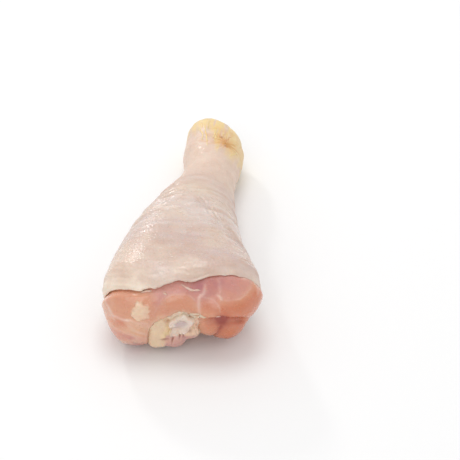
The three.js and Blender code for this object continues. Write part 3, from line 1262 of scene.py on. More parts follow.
FASCIA_FOLDS = (
    Strand(((-1.4, 3.3, 32.9), (1.5, 2.3, 31.7), (3.4, 2.2, 31.2), (6.0, 2.5, 31.1)), 0.8, 0.4),
    Strand(((-16.9, 1.6, 29.1), (-14.7, 1.7, 29.7), (-12.4, 1.8, 30.2)), 0.8, 0.4),
    Strand(((-8.0, 1.3, 30.3), (-7.3, 0.9, 29.9), (-6.8, 0.5, 29.4)), 0.9, 0.5),
    Strand(((12.2, -1.7, 21.4), (13.2, -1.6, 21.5), (14.1, -1.4, 21.2)), 0.7, 0.35),
)  # small raised folds of membrane on the bare muscles, which catch the light
JOINT_RAGS = (
    Strand(
        ((-6.1, -1.7, 20.3), (-4.2, -2.1, 21.6), (-2.2, -1.9, 22.4), (-0.4, -1.7, 22.8), (1.6, -1.5, 22.3)),
        1.5, 0.5,
    ),
    Strand(
        ((0.4, -1.6, 22.1), (2.6, -1.4, 21.7), (4.8, -1.3, 21.2), (6.8, -1.5, 21.4), (8.6, -1.7, 21.0)),
        1.6, 0.55,
    ),
    Strand(((2.2, -1.4, 22.8), (4.2, -1.3, 22.4), (6.4, -1.3, 22.3)), 0.9, 0.4),
)  # rags of ligament and capsule round the head of the bone
HOCK_FIBRES = (
    Strand(((-4.3, 126.1, 20.4), (-3.9, 124.2, 20.5), (-3.4, 122.2, 20.6)), 0.42, 0.22),
    Strand(((-5.6, 123.1, 19.8), (-3.7, 119.7, 20.6), (-2.9, 116.2, 21.1), (-3.1, 112.4, 21.5)), 0.5, 0.24),
    Strand(((-2.7, 124.5, 20.8), (-2.0, 119.3, 21.1), (-1.1, 113.2, 22.0), (-0.5, 107.3, 22.4)), 0.5, 0.26),
    Strand(((-0.8, 126.7, 20.9), (-1.1, 123.1, 21.0), (-1.4, 120.2, 21.1)), 0.42, 0.22),
    Strand(((2.2, 121.6, 21.0), (1.9, 117.0, 21.7), (1.2, 113.8, 22.2)), 0.5, 0.24),
    Strand(((3.3, 119.8, 21.1), (2.5, 114.8, 22.0), (2.3, 111.1, 22.5)), 0.42, 0.22),
    Strand(((8.8, 104.0, 20.1), (11.0, 107.4, 18.7), (12.0, 110.0, 17.5)), 0.42, 0.2),
)  # thin yellow fibres that are stuck to the skin of the hock


@dataclass
class Meat:
    """The muscles, bare at the knee and at the open hock."""

    columns: int = 460
    bare_rows: int = 165
    covered_rows: int = 26
    hock_rows: int = 14
    tucked: float = 3.0  # how far the close rows go on under the skin
    fat_patch: Blob = Blob((-16.5, -1.6, 22.9), (4.0, 6.0, 4.3))
    fat_height: float = 0.5
    dome_centre: tuple[float, float] = (-2.2, 22.9)  # x and z
    dome_radius: float = 7.3
    crease_depth: float = 0.7
    crevice: Blob = Blob((14.6, -0.4, 18.3), (2.3, 5.0, 3.5))  # where the inner calf and both lobes meet
    crevice_depth: float = 1.1
    capsule_height: float = 0.35
    opening_depth: float = 1.0
    lap_height: float = 0.5
    undercut_depth: float = 2.0
    violet: Blob = Blob((8.5, 5.0, 32.3), (8.5, 9.0, 3.2))
    honey: Blob = Blob((-16.8, -2.0, 14.6), (5.0, 9.0, 4.0))
    film: Blob = Blob((28.5, 13.5, 25.0), (2.4, 7.0, 5.0))
    mauve: Spot = Spot(-19.8, -5.8, 3.6, 1.6, -25.0)
    orange: tuple[tuple[Spot, float], ...] = (
        (Spot(9.0, 7.2, 3.2, 2.8), 0.8),
        (Spot(9.4, -0.8, 3.4, 2.6), 0.5),
        (Spot(-24.8, 1.6, 3.0, 1.2, -22.0), 1.0),
        (Spot(27.8, 9.0, 2.0, 4.0), 0.9),
    )  # the cell beside the dome, the small lobe, a streak on the outer side, the inner edge; their strengths

    def rows(self) -> tuple[Array, Array]:
        """Rows of the flesh: close together where it is bare, further apart under the skin.

        Returns:
            Arc and angle of each point.
        """
        bare = np.linspace(0.0, 1.0, self.bare_rows + 1)[1:]
        covered = np.linspace(0.0, 1.0, self.covered_rows + 1)[1:]
        hock = np.linspace(0.0, 1.0, self.hock_rows + 1)[1:-1]
        angle = column_angles(self.columns, len(bare) + len(covered) + len(hock))
        knee, end = FLESH.knee_edge(angle[0]) + self.tucked, FLESH.hock_edge(angle[0])
        along = [knee * s for s in bare]
        along += [knee + (end - knee) * s for s in covered]
        along += [end + (FLESH.spine.arc - end) * s for s in hock]
        return np.stack(along), angle

    def fat(self, points: Array) -> Array:
        """Patch of fat on the outer calf: an oval with a ragged edge."""
        ragged = 0.2 * noise(points, 2.2, 40) + 0.14 * noise(points, 0.9, 41)
        return fall(self.fat_patch.distance(points) + ragged, 0.82, 1.04)

    @staticmethod
    def from_seam(points: Array) -> Array:
        """Distance from the deep seams beside the shin muscles.

        Seams inside the calf's membrane are shallow, and those above the lobes are opened by the undercut.

        Args:
            points: places on the flesh.

        Returns:
            Millimetres from a deep seam, or FAR_AWAY where the nearest seam isn't deep.
        """
        first, second, gap = FLESH.neighbours(points)
        names = list(Muscle)
        soft = [names.index(muscle) for muscle in (*CALF, Muscle.SHIN_OUTER)]
        lobes = [names.index(muscle) for muscle in LOBES]
        shallow = np.isin(first, soft) & np.isin(second, soft)
        opened = np.isin(first, lobes) ^ np.isin(second, lobes)
        return np.where(shallow | opened, FAR_AWAY, gap)

    def relief(self, points: Array) -> Array:
        """Height of the flesh: soft lumps, creases, raised lines of fascia and the swelling of the fat patch.

        Args:
            points: places on the plain flesh.

        Returns:
            Millimetres outwards.
        """
        bare = fall(points[..., 1], 14.0, 24.0)
        lumps = 0.24 * noise(points, 6.0, 42) + 0.1 * noise(points, 2.4, 43) + 0.03 * noise(points, 0.9, 49)
        lines = sum(line.thickness * line.nearness(points) for line in FASCIA_LINES)
        fat = self.fat(points) * self.fat_height * (0.85 + 0.5 * noise(points, 1.7, 44))
        torn = ramp(points[..., 1], 122.0, 126.0) * 0.4 * noise(points, 1.6, 45)
        creases = self.crease_depth * bell(self.from_seam(points), 0.9)
        creases = creases + self.crevice_depth * self.crevice.share(points)
        joint = self.capsule_height * self.capsule(points) - self.opening_depth * self.opening(points)
        joint = joint + self.lap_height * self.lap(points) - self.undercut_depth * self.undercut(points)
        return (lumps + lines + fat + joint - creases) * bare + torn

    def outside(self, points: Array) -> Array:
        """Distance outside the muscles with their relief."""
        return FLESH.bare(points) - self.relief(points)

    @staticmethod
    def at_knee(points: Array) -> Array:
        """1 at the knee's end, fading out up the leg."""
        return fall(points[..., 1], 5.0, 9.0)

    def capsule(self, points: Array) -> Array:
        """Rim of the joint's capsule: a bell just outside the joint's border."""
        return bell(above_joint(points) - 0.6, 0.9) * self.at_knee(points)

    def opening(self, points: Array) -> Array:
        """1 inside the joint's border, where the flesh gives way to the bone.

        Args:
            points: places in leg millimetres.

        Returns:
            Numbers from 0 to 1.
        """
        close = bell(np.maximum(SHIN_BONE.distance(points) - 0.4, 0.0), 0.9)
        inside = fall(above_joint(points), -0.9, 0.2)
        across = on_cut(points)[0]
        shallow = (0.35 + 0.65 * ramp(across, -12.0, -7.0)) * fall(across, 3.0, 5.6)
        return shallow * inside * close * self.at_knee(points)

    def lap(self, points: Array) -> Array:
        """Lip of flesh that laps against the bone's knob: a bell over the distance from the bone."""
        close = bell(np.maximum(SHIN_BONE.distance(points) - 0.3, 0.0), 0.8)
        return close * fall(on_cut(points)[0], -12.0, -9.0) * self.at_knee(points)

    @staticmethod
    def undercut(points: Array) -> Array:
        """Where the inner calf draws in above the two lobes: a bell up the slant, on the calf alone.

        Args:
            points: places in leg millimetres.

        Returns:
            Numbers from 0 to 1.
        """
        across, rise = on_cut(points)
        on_calf = ramp(union_distance(points, LOBES, 1.0) - union_distance(points, CALF, 1.0), -0.5, 1.0)
        side = window(across, (5.0, 9.0), (22.0, 27.0))
        return side * bell(rise - 0.9, 1.6) * on_calf * fall(points[..., 1], 8.0, 12.0)

    def tinted(self, points: Array) -> Array:
        """Where the flesh has a deeper orange: the strongest of its places."""
        return np.max([strength * spot.share(points) for spot, strength in self.orange], axis=0)

    def painted_crease_shade(self, points: Array) -> Array:
        """Painted shade in deep red: beside seams, in the crevice, round the lobes and low on them, beside
        the bone, under the inner calf's overhang and under the skin's edge.

        Args:
            points: places on the flesh.

        Returns:
            How strongly each point is painted with shade, from 0 to 1 or more.
        """
        x, y, z = points[..., 0], points[..., 1], points[..., 2]
        seam = self.from_seam(points)
        lobes = ramp(x, 4.0, 7.0) * fall(z, 17.5, 19.5)
        near_bone = bell(np.maximum(SHIN_BONE.distance(points), 0.0), 1.0)
        arc, angle = FLESH.spine.place(points)
        under = fall(FLESH.knee_edge(angle) - arc, 0.0, 1.4)
        drawn_in = bell(on_cut(points)[1] - 1.0, 1.3) * ramp(x, 7.0, 10.0) * fall(x, 21.0, 25.0)
        # Every term is painted shade: seams, crevice, beside the bone, under the skin's edge, low on the
        # lobes and under the calf's overhang
        folds = 0.35 * bell(seam, 0.6) + 0.3 * bell(seam, 2.0) * lobes + 0.12 * near_bone
        folds = folds + 1.7 * self.crevice.share(points) + 0.15 * under
        return folds + 0.3 * lobes * fall(z, 4.0, 9.0) + 0.5 * drawn_in * fall(y, 4.0, 8.0)

    def masks(self, points: Array) -> Masks:
        """Where each colour lies on the flesh.

        Args:
            points: places on the flesh.

        Returns:
            Numbers from 0 to 1 by mask name.
        """
        x, y, z = points[..., 0], points[..., 1], points[..., 2]
        patchy = noise(points, 4.0, 46) + 0.5 * noise(points, 1.6, 47)
        drawn = np.stack([(0.5 * x + 0.86 * z) / 1.1, 0.0 * x, (0.86 * x - 0.5 * z) / 7.0], axis=-1)
        streaky = noise(drawn, 1.0, 56)
        bare = fall(y, 16.0, 26.0)
        hock = ramp(y, 118.0, 124.0)
        inner = ramp(x, 11.0, 15.0)
        left = fall(x, -14.0, -9.0)
        dome = np.hypot(x - self.dome_centre[0], z - self.dome_centre[1]) - self.dome_radius
        above_dome = ramp(dome, -0.4, 1.4) * ramp(z, 23.5, 27.0) * (1.0 - inner) * (1.0 - left)
        inner_line = z - (27.2 + 0.25 * np.maximum(y - 3.0, 0.0) + 0.2 * np.maximum(17.0 - x, 0.0))
        above_line = ramp(inner_line, -0.5, 1.0) * inner
        top = ramp(z + 1.4 * patchy, 28.5, 32.0)
        outer_line = z - (19.1 + 0.12 * np.maximum(-25.0 - x, 0.0) ** 2)
        low_left = fall(outer_line + 0.8 * patchy, -2.0, 1.2) * left
        flap = fall(z + 0.5 * np.maximum(x + 22.0, 0.0) + 0.6 * patchy, 10.8, 12.8) * left
        film = self.film.share(points) * (0.6 + 0.5 * noise(points, 1.5, 50))
        # pale along the outer silhouette edge: painted sheen of light grazing the edge
        rim_sheen = fall(x + 0.8 * patchy, -30.5, -26.5) * fall(z, 22.0, 27.0)
        lower_inner = ramp(x, 9.0, 16.0) * fall(z, 24.0, 29.0)
        lines = np.max([line.strength * line.nearness(points) for line in FASCIA_LINES], axis=0)
        tinted = self.tinted(points)
        plain = bare * (1.0 - tinted)
        orange = lower_inner + 0.35 * ramp(-dome, 0.0, 3.0) + tinted
        pale = low_left * (0.5 + 0.5 * streaky) + 0.25 * above_line + 0.25 * film + 0.1 * rim_sheen
        pink = 0.9 * above_dome + 0.7 * above_line + top + 0.7 * flap
        violet = self.violet.share(points) + 0.2 * MEMBRANE_STRIP.nearness(points) + self.mauve.share(points)
        gristle = 0.7 * self.capsule(points) + self.opening(points)
        torn = 0.4 * hock * ramp(patchy, 0.0, 0.8)
        return {
            "amber": bare * np.clip(orange, 0.0, 1.0),
            "honey": plain * self.honey.share(points) * (0.8 + 0.5 * streaky),
            "pale": plain * np.clip(pale, 0.0, 1.0),
            "pink": plain * np.clip(pink, 0.0, 1.0) + 0.5 * hock,
            "violet": bare * np.clip(violet, 0.0, 1.0) * (0.8 + 0.4 * patchy),
            "line": bare * lines * (0.85 + 0.5 * noise(points, 1.8, 48)),
            "fat": self.fat(points) * bare * (0.9 + 0.3 * noise(points, 1.2, 51)),
            "gristle": np.clip(gristle, 0.0, 1.0) * (0.85 + 0.3 * patchy),
            # deep: painted shade in the seams, the crevice and under overhangs, plus the real dark red of the
            # torn hock end
            "deep": bare * np.clip(self.painted_crease_shade(points), 0.0, 1.0) + torn,
        }

    def build(self, material: Material) -> Object:
        """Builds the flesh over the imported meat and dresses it.

        Args:
            material: the muscle's material.

        Returns:
            The piece.
        """
        arc, angle = self.rows()
        cut = len(arc) - self.hock_rows + 1
        body = FLESH.surface(arc[:cut], angle[:cut], FLESH.bare_swell(arc[:cut], angle[:cut]))
        plain = np.concatenate([body, FLESH.hock_end(arc[cut:], angle[cut:])])
        piece = closed_piece("muscles", plain, self.relief, self.masks)
        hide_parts("meat")
        settle(piece, "meat", material)
        return piece


@dataclass
class Skin:
    """The sleeve of skin, open at the knee and at the hock."""

    meat: Meat
    columns: int = 280
    outer_rows: int = 328
    hem_rows: int = 6
    inner_rows: int = 10
    rim_share: float = 0.4  # thickness left at the knee edge where there is no fat
    fat_share: float = 0.5  # how much of that thinning the fat makes up for
    rim_length: float = 5.0
    rim_height: float = 0.55
    edge_radius: float = 20.0  # of the circle that carries the noise of the cut edge
    drawn_back: float = 1.0  # how far the knee edge gives way to the roll of fat
    edge_lining: float = 0.3  # clearance left at the knee edge, as a share
    fat_start: tuple[float, float] = (70.0, 100.0)  # degrees round the leg where the roll of fat starts
    fat_end: tuple[float, float] = (178.0, 206.0)  # and where it ends
    follicle_spacing: float = 2.4
    follicle_height: float = 0.26
    ripple_height: float = 0.58
    ripple_start: tuple[float, float] = (44.0, 62.0)  # arc
    ripple_end: tuple[float, float] = (82.0, 104.0)  # arc
    ripple_turn: tuple[float, float] = (115.0, 55.0)  # degrees round the leg, and spread
    fold_height: float = 0.5
    fold_turn: tuple[float, float] = (42.0, 36.0)  # degrees round the leg, and spread
    fold_slant: float = 0.34  # millimetres of arc for each degree round the leg
    fold_arc: float = 45.0
    fold_spacing: float = 3.4
    sag_height: float = 0.34
    scale_height: float = 0.3
    crease_depth: float = 0.42
    roll_height: float = 1.2
    roll_place: tuple[float, float] = (100.0, 139.0)  # degrees round the leg, and arc
    pit: Blob = Blob((2.8, 57.4, 30.4), (3.2, 2.0, 3.0))
    # greyer skin round the dimple: painted shade in it
    pit_shade: Blob = Blob((2.8, 57.4, 30.4), (4.5, 2.6, 4.0))
    pit_depth: float = 0.8
    ring: Blob = Blob((-1.9, 33.4, 35.1), (1.0, 1.0, 1.0))
    ring_height: float = 0.26
    hock_radius: float = 11.0
    knuckle: tuple[float, float] = (60.0, 126.3)  # degrees round the leg, and arc
    yellow_border: tuple[tuple[float, float], ...] = (
        (3.0, 121.0), (29.0, 118.7), (51.0, 118.6), (63.0, 120.9), (75.0, 121.3), (84.0, 124.5),
        (91.0, 129.5), (97.0, 133.0), (123.0, 133.6), (145.0, 137.5), (200.0, 135.0), (270.0, 127.0),
    )  # degrees round the leg, and arc
    specks: tuple[tuple[Blob, float], ...] = (
        (Blob((-27.8, 13.9, 31.6), (0.4, 0.4, 0.4)), 1.0),
        (Blob((5.1, 115.4, 21.5), (0.6, 0.6, 1.2)), 0.7),
        (Blob((7.1, 109.1, 21.5), (0.6, 0.6, 1.2)), 0.7),
    )  # dark specks, and how strong each is

    def knee_edge(self, angle: Array) -> Array:
        """Knee edge with the small tears and scallops of a cut edge added to it.

        Args:
            angle: radians round the spine.

        Returns:
            Millimetres from the knee pole.
        """
        circle = self.edge_radius * np.cos(angle), self.edge_radius * np.sin(angle)
        around = np.stack([*circle, np.zeros(angle.shape)], axis=-1)
        cut = 0.4 * noise(around, 3.2, 11) + 0.22 * noise(around, 1.2, 12)
        return FLESH.knee_edge(angle) + self.drawn_back * self.fatty(angle) + cut

    def fatty(self, angle: Array) -> Array:
        """Where the knee edge has its roll of fat: from the top of the leg to its outer side."""
        return window(turned(angle), self.fat_start, self.fat_end)

    def near_edge(self, arc: Array, angle: Array) -> Array:
        """Bell curve of the distance from the knee edge, 1 on the edge."""
        return bell(np.maximum(arc - self.knee_edge(angle), 0.0), self.rim_length)

    def thickness(self, arc: Array, angle: Array) -> Array:
        """Skin thickness: full all over, thinning to a film at the knee edge where there is no fat."""
        thin = (1.0 - self.rim_share) * (1.0 - self.fat_share * self.fatty(angle))
        return SKIN_THICKNESS * (1.0 - thin * self.near_edge(arc, angle))

    def rows(self) -> tuple[Array, Array, Array, Array]:
        """Rows of the sleeve: outside from knee to hock, a round hem, inside back, and the other hem.

        Returns:
            Arc, angle, growth beyond the flesh, and how much of the outside relief each point gets.
        """
        share = np.linspace(0.0, 1.0, self.outer_rows)
        back = np.linspace(1.0, 0.0, self.inner_rows)
        turn = np.linspace(0.0, math.pi, self.hem_rows + 2)[1:-1]
        angle = column_angles(self.columns, self.outer_rows + self.inner_rows + 2 * self.hem_rows)
        knee, hock = self.knee_edge(angle[0]), FLESH.hock_edge(angle[0])
        ends = [self.thickness(edge, angle[0]) / 2.0 for edge in (knee, hock)]
        along = [knee + (hock - knee) * s for s in share]
        along += [hock + ends[1] * math.sin(t) for t in turn]
        along += [knee + (hock - knee) * s for s in back]
        along += [knee - ends[0] * math.sin(t) for t in turn]
        arc = np.stack(along)
        out, into = (1 + np.cos(turn)) / 2, (1 - np.cos(turn)) / 2
        depth = np.concatenate([np.ones_like(share), out, 0 * back, into])
        lining = CLEARANCE * (1.0 - (1.0 - self.edge_lining) * self.near_edge(arc, angle))
        grow = lining + depth[:, None] * self.thickness(arc, angle)
        return arc, angle, grow, np.broadcast_to(depth[:, None], arc.shape)

    def from_knuckle(self, arc: Array, angle: Array) -> tuple[Array, Array]:
        """Place on the unrolled skin as seen from the hock's knuckle.

        Args:
            arc: millimetres from the knee pole.
            angle: radians round the spine.

        Returns:
            Millimetres away from the knuckle, and the direction in radians.
        """
        turn, middle = self.knuckle
        around, along = np.radians(turned(angle) - turn) * self.hock_radius, arc - middle
        return np.hypot(around, along), np.arctan2(along, around)

    def streaks(self, points: Array, arc: Array, angle: Array) -> Array:
        """Creases that fan out from the hock's knuckle: noise over the direction, fading outwards.

        Args:
            points: places in leg millimetres.
            arc: millimetres from the knee pole.
            angle: radians round the spine.

        Returns:
            Numbers from 0 to 1.
        """
        away, way = self.from_knuckle(arc, angle)
        way = way + 0.25 * noise(points, 3.0, 34)
        place = np.stack([7.0 * np.cos(way), 7.0 * np.sin(way), away / 5.0], axis=-1)
        rays = noise(place, 1.0, 33) + 0.6 * noise(place, 0.5, 35)
        reach = 0.35 * fall(away, 8.0, 16.0) + 0.65 * bell(away, 5.5)
        return ramp(rays, 0.0, 0.6) * reach * ramp(arc, 119.0, 125.0)

    def yellowed(self, points: Array, arc: Array, angle: Array) -> Array:
        """Yellow cap of the hock: beyond a border round the leg, with a soft edge in streaks.

        Args:
            points: places in leg millimetres.
            arc: millimetres from the knee pole.
            angle: radians round the spine.

        Returns:
            Numbers from 0 to 1.
        """
        turn = turned(angle)
        border = np.interp(turn, *zip(*self.yellow_border), period=360.0)
        place = np.stack([np.radians(turn) * self.hock_radius, 0.0 * arc, arc], axis=-1)
        streaky = 2.6 * noise(place, (1.3, 1.0, 6.0), 32) + 1.2 * noise(points, 1.4, 36)
        fibrous = np.clip(0.62 + 1.5 * noise(place, (0.9, 1.0, 7.0), 39), 0.1, 1.0)
        on_top = ramp(turn, 42.0, 70.0) * (1.0 - 0.8 * ramp(turn, 112.0, 140.0))
        shown = 0.75 + 0.25 * ramp(turn, 20.0, 60.0) - (1.0 - fibrous) * on_top
        return ramp(arc - border + streaky, -3.5, 6.0) * shown

    def ripples(self, points: Array, arc: Array, angle: Array) -> Array:
        """Soft wrinkles across the leg: noise drawn out sideways, strongest where the calf narrows.

        Args:
            points: places on the plain sleeve.
            arc: millimetres from the knee pole.
            angle: radians round the spine.

        Returns:
            Height as a share of the ripple height.
        """
        slant = 0.22 * points[..., 0] + 1.2 * noise(points, 11.0, 15)
        slanted = points - np.stack([0.0 * arc, slant, 0.0 * arc], axis=-1)
        wide = 1.5 * noise(slanted, (13.0, 1.9, 13.0), 3) + 0.3 * ridged(slanted, (13.0, 2.4, 13.0), 16)
        narrow = noise(slanted, (7.0, 1.0, 7.0), 4)
        middle, spread = self.ripple_turn
        on_top = 0.35 + 0.65 * bell(turned(angle) - middle, spread)
        strength = 0.1 + 0.9 * window(arc, self.ripple_start, self.ripple_end) * on_top
        return strength * (wide + 0.55 * narrow)

    def relief(self, points: Array, arc: Array, angle: Array) -> Array:
        """Height of the outside: sag, cross ripples, slanting folds, follicles, scales and the fat rim.

        Args:
            points: places on the plain sleeve.
            arc: millimetres from the knee pole.
            angle: radians round the spine.

        Returns:
            Millimetres outwards.
        """
        turn = turned(angle)
        from_edge = arc - self.knee_edge(angle)
        sag = self.sag_height * (noise(points, 15.0, 1) + 0.55 * noise(points, 6.0, 2))
        ripples = self.ripple_height * self.ripples(points, arc, angle)
        across = arc - self.fold_slant * turn - self.fold_arc
        wave = math.pi * across / self.fold_spacing + 1.3 * noise(points, 5.0, 5)
        fold = 1.0 - 2.0 * np.abs(np.sin(wave))
        fold_turn, fold_spread = self.fold_turn
        folds = self.fold_height * fold * bell(across, 6.5) * bell(turn - fold_turn, fold_spread)
        covered = ramp(from_edge, 3.0, 12.0) * fall(arc, 108.0, 124.0)
        follicles = self.follicle_height * bell(pores(points, self.follicle_spacing, 20), 0.55)
        follicles = follicles * covered * (0.7 + 0.6 * noise(points, 8.0, 13))
        hock = ramp(arc, 110.0, 126.0)
        rough = 0.7 * noise(points, (3.0, 2.0, 3.0), 6) + 0.3 * noise(points, 1.1, 7)
        scales = self.scale_height * hock * rough
        strips = noise(np.stack([from_edge / 1.1, 0.0 * arc, np.radians(turn) * 3.5], axis=-1), 1.0, 8)
        rim = bell(from_edge - 1.6, 2.0) * self.fatty(angle) * (0.9 + 0.6 * noise(points, 2.6, 9))
        edge = 0.24 * strips * bell(from_edge, 9.0) + self.rim_height * rim
        pit = -self.pit_depth * self.pit.share(points)
        ring = self.ring_height * bell(self.ring.distance(points) - 1.0, 0.45)
        pebbles = 0.04 * noise(points, 0.95, 10) + 0.06 * noise(points, 1.7, 14)
        pebbles = pebbles * (1.0 - 0.7 * ramp(arc, 78.0, 100.0))
        creases = -self.crease_depth * self.streaks(points, arc, angle)
        roll_turn, roll_arc = self.roll_place
        roll = self.roll_height * bell(arc - roll_arc, 8.0) * bell(turn - roll_turn, 55.0)
        return sag + ripples + folds + follicles + scales + edge + pit + ring + pebbles + creases + roll

    def outside(self, points: Array) -> Array:
        """Distance outside the skin with its relief."""
        return FLESH.distance(points, COVER) - self.relief(points, *FLESH.spine.place(points))

    def masks(self, points: Array, arc: Array, angle: Array) -> Masks:
        """Where each colour lies on the skin.

        Args:
            points: places on the sleeve.
            arc: millimetres from the knee pole.
            angle: radians round the spine.

        Returns:
            Numbers from 0 to 1 by mask name.
        """
        turn = turned(angle)
        from_edge = arc - self.knee_edge(angle)
        patchy = noise(points, 9.0, 30) + 0.6 * noise(points, 3.5, 31)
        away = self.from_knuckle(arc, angle)[0]
        knuckle = 0.6 * bell(away, 3.4) + 0.3 * bell(away, 8.0) * ramp(arc, 120.0, 126.0)
        ragged = np.maximum(from_edge + 1.5 * noise(points, 2.4, 38), 0.0)
        rim = bell(ragged, 4.6) * (0.3 + 0.7 * self.fatty(angle))
        # lilac: thin skin where the meat shows through, and painted shade round the dimple
        lilac = ramp(patchy, 0.05, 0.8) * bell(arc - 30.0, 24.0) + 0.9 * self.pit_shade.share(points)
        warm = ramp(-patchy, 0.05, 0.8) * fall(arc, 100.0, 118.0)
        blush = 0.7 * ramp(arc, 88.0, 112.0) + 0.7 * bell(arc - 30.0, 12.0) * bell(turn - 150.0, 22.0)
        dots = bell(pores(points, 9.0, 26), 0.5) * ramp(arc, 18.0, 30.0) * fall(arc, 100.0, 112.0)
        ripples = 0.8 * self.ripples(points, arc, angle)
        bumps = 0.5 * bell(pores(points, self.follicle_spacing, 20), 0.5) * fall(arc, 96.0, 116.0)
        specks = [strength * speck.share(points) for speck, strength in self.specks]
        calm = 0.12 * ramp(arc, 40.0, 54.0) + 0.75 * ramp(arc, 78.0, 104.0) + 0.3 * bell(from_edge, 9.0)
        return {
            # paler on ripple crests and follicle bumps, darker in the valleys: painted highlight and shade on
            # the relief, over random tone
            "veil": np.clip(0.4 + ripples + bumps + 0.6 * noise(points, (5.0, 2.5, 5.0), 37), 0.0, 1.0),
            # paler band round the upper thigh: painted sheen over a paler tone
            "frost": bell(arc - 66.0, 14.0) * np.clip(0.8 + 0.4 * patchy, 0.0, 1.0),
            "lilac": 0.65 * lilac * (1.0 - rim),
            "cream": np.maximum(0.3 * warm, 0.55 * bell(arc - 84.0, 8.0) * bell(turn - 95.0, 45.0)),
            # paler still from the outer side round underneath, where the rim faces down: painted light that
            # lifts its shade
            "rim": rim * (0.3 + 0.65 * ramp(turn, 112.0, 145.0)),
            "blush": blush,
            "yellow": np.maximum(self.yellowed(points, arc, angle), 0.45 * dots),
            "streak": np.clip(0.8 * self.streaks(points, arc, angle) + knuckle, 0.0, 1.0),
            "speck": np.max(specks, axis=0),
            "calm": calm,
        }

    def build(self, material: Material) -> Object:
        """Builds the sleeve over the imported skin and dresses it.

        Args:
            material: the skin's material.

        Returns:
            The piece.
        """
        arc, angle, grow, outside = self.rows()
        plain = FLESH.surface(arc, angle, grow)
        height = outside * self.relief(plain, arc, angle) + (1.0 - outside) * self.meat.relief(plain)
        points = plain + height[..., None] * FLESH.spine.rays(arc, angle)[1]
        points[..., 2] = np.maximum(points[..., 2], 0.0)
        piece = make_object("skin_sleeve", points, *grid_faces(*arc.shape, True))
        set_masks(piece, self.masks(plain, arc, angle))
        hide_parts("skin")
        settle(piece, "skin", material)
        return piece


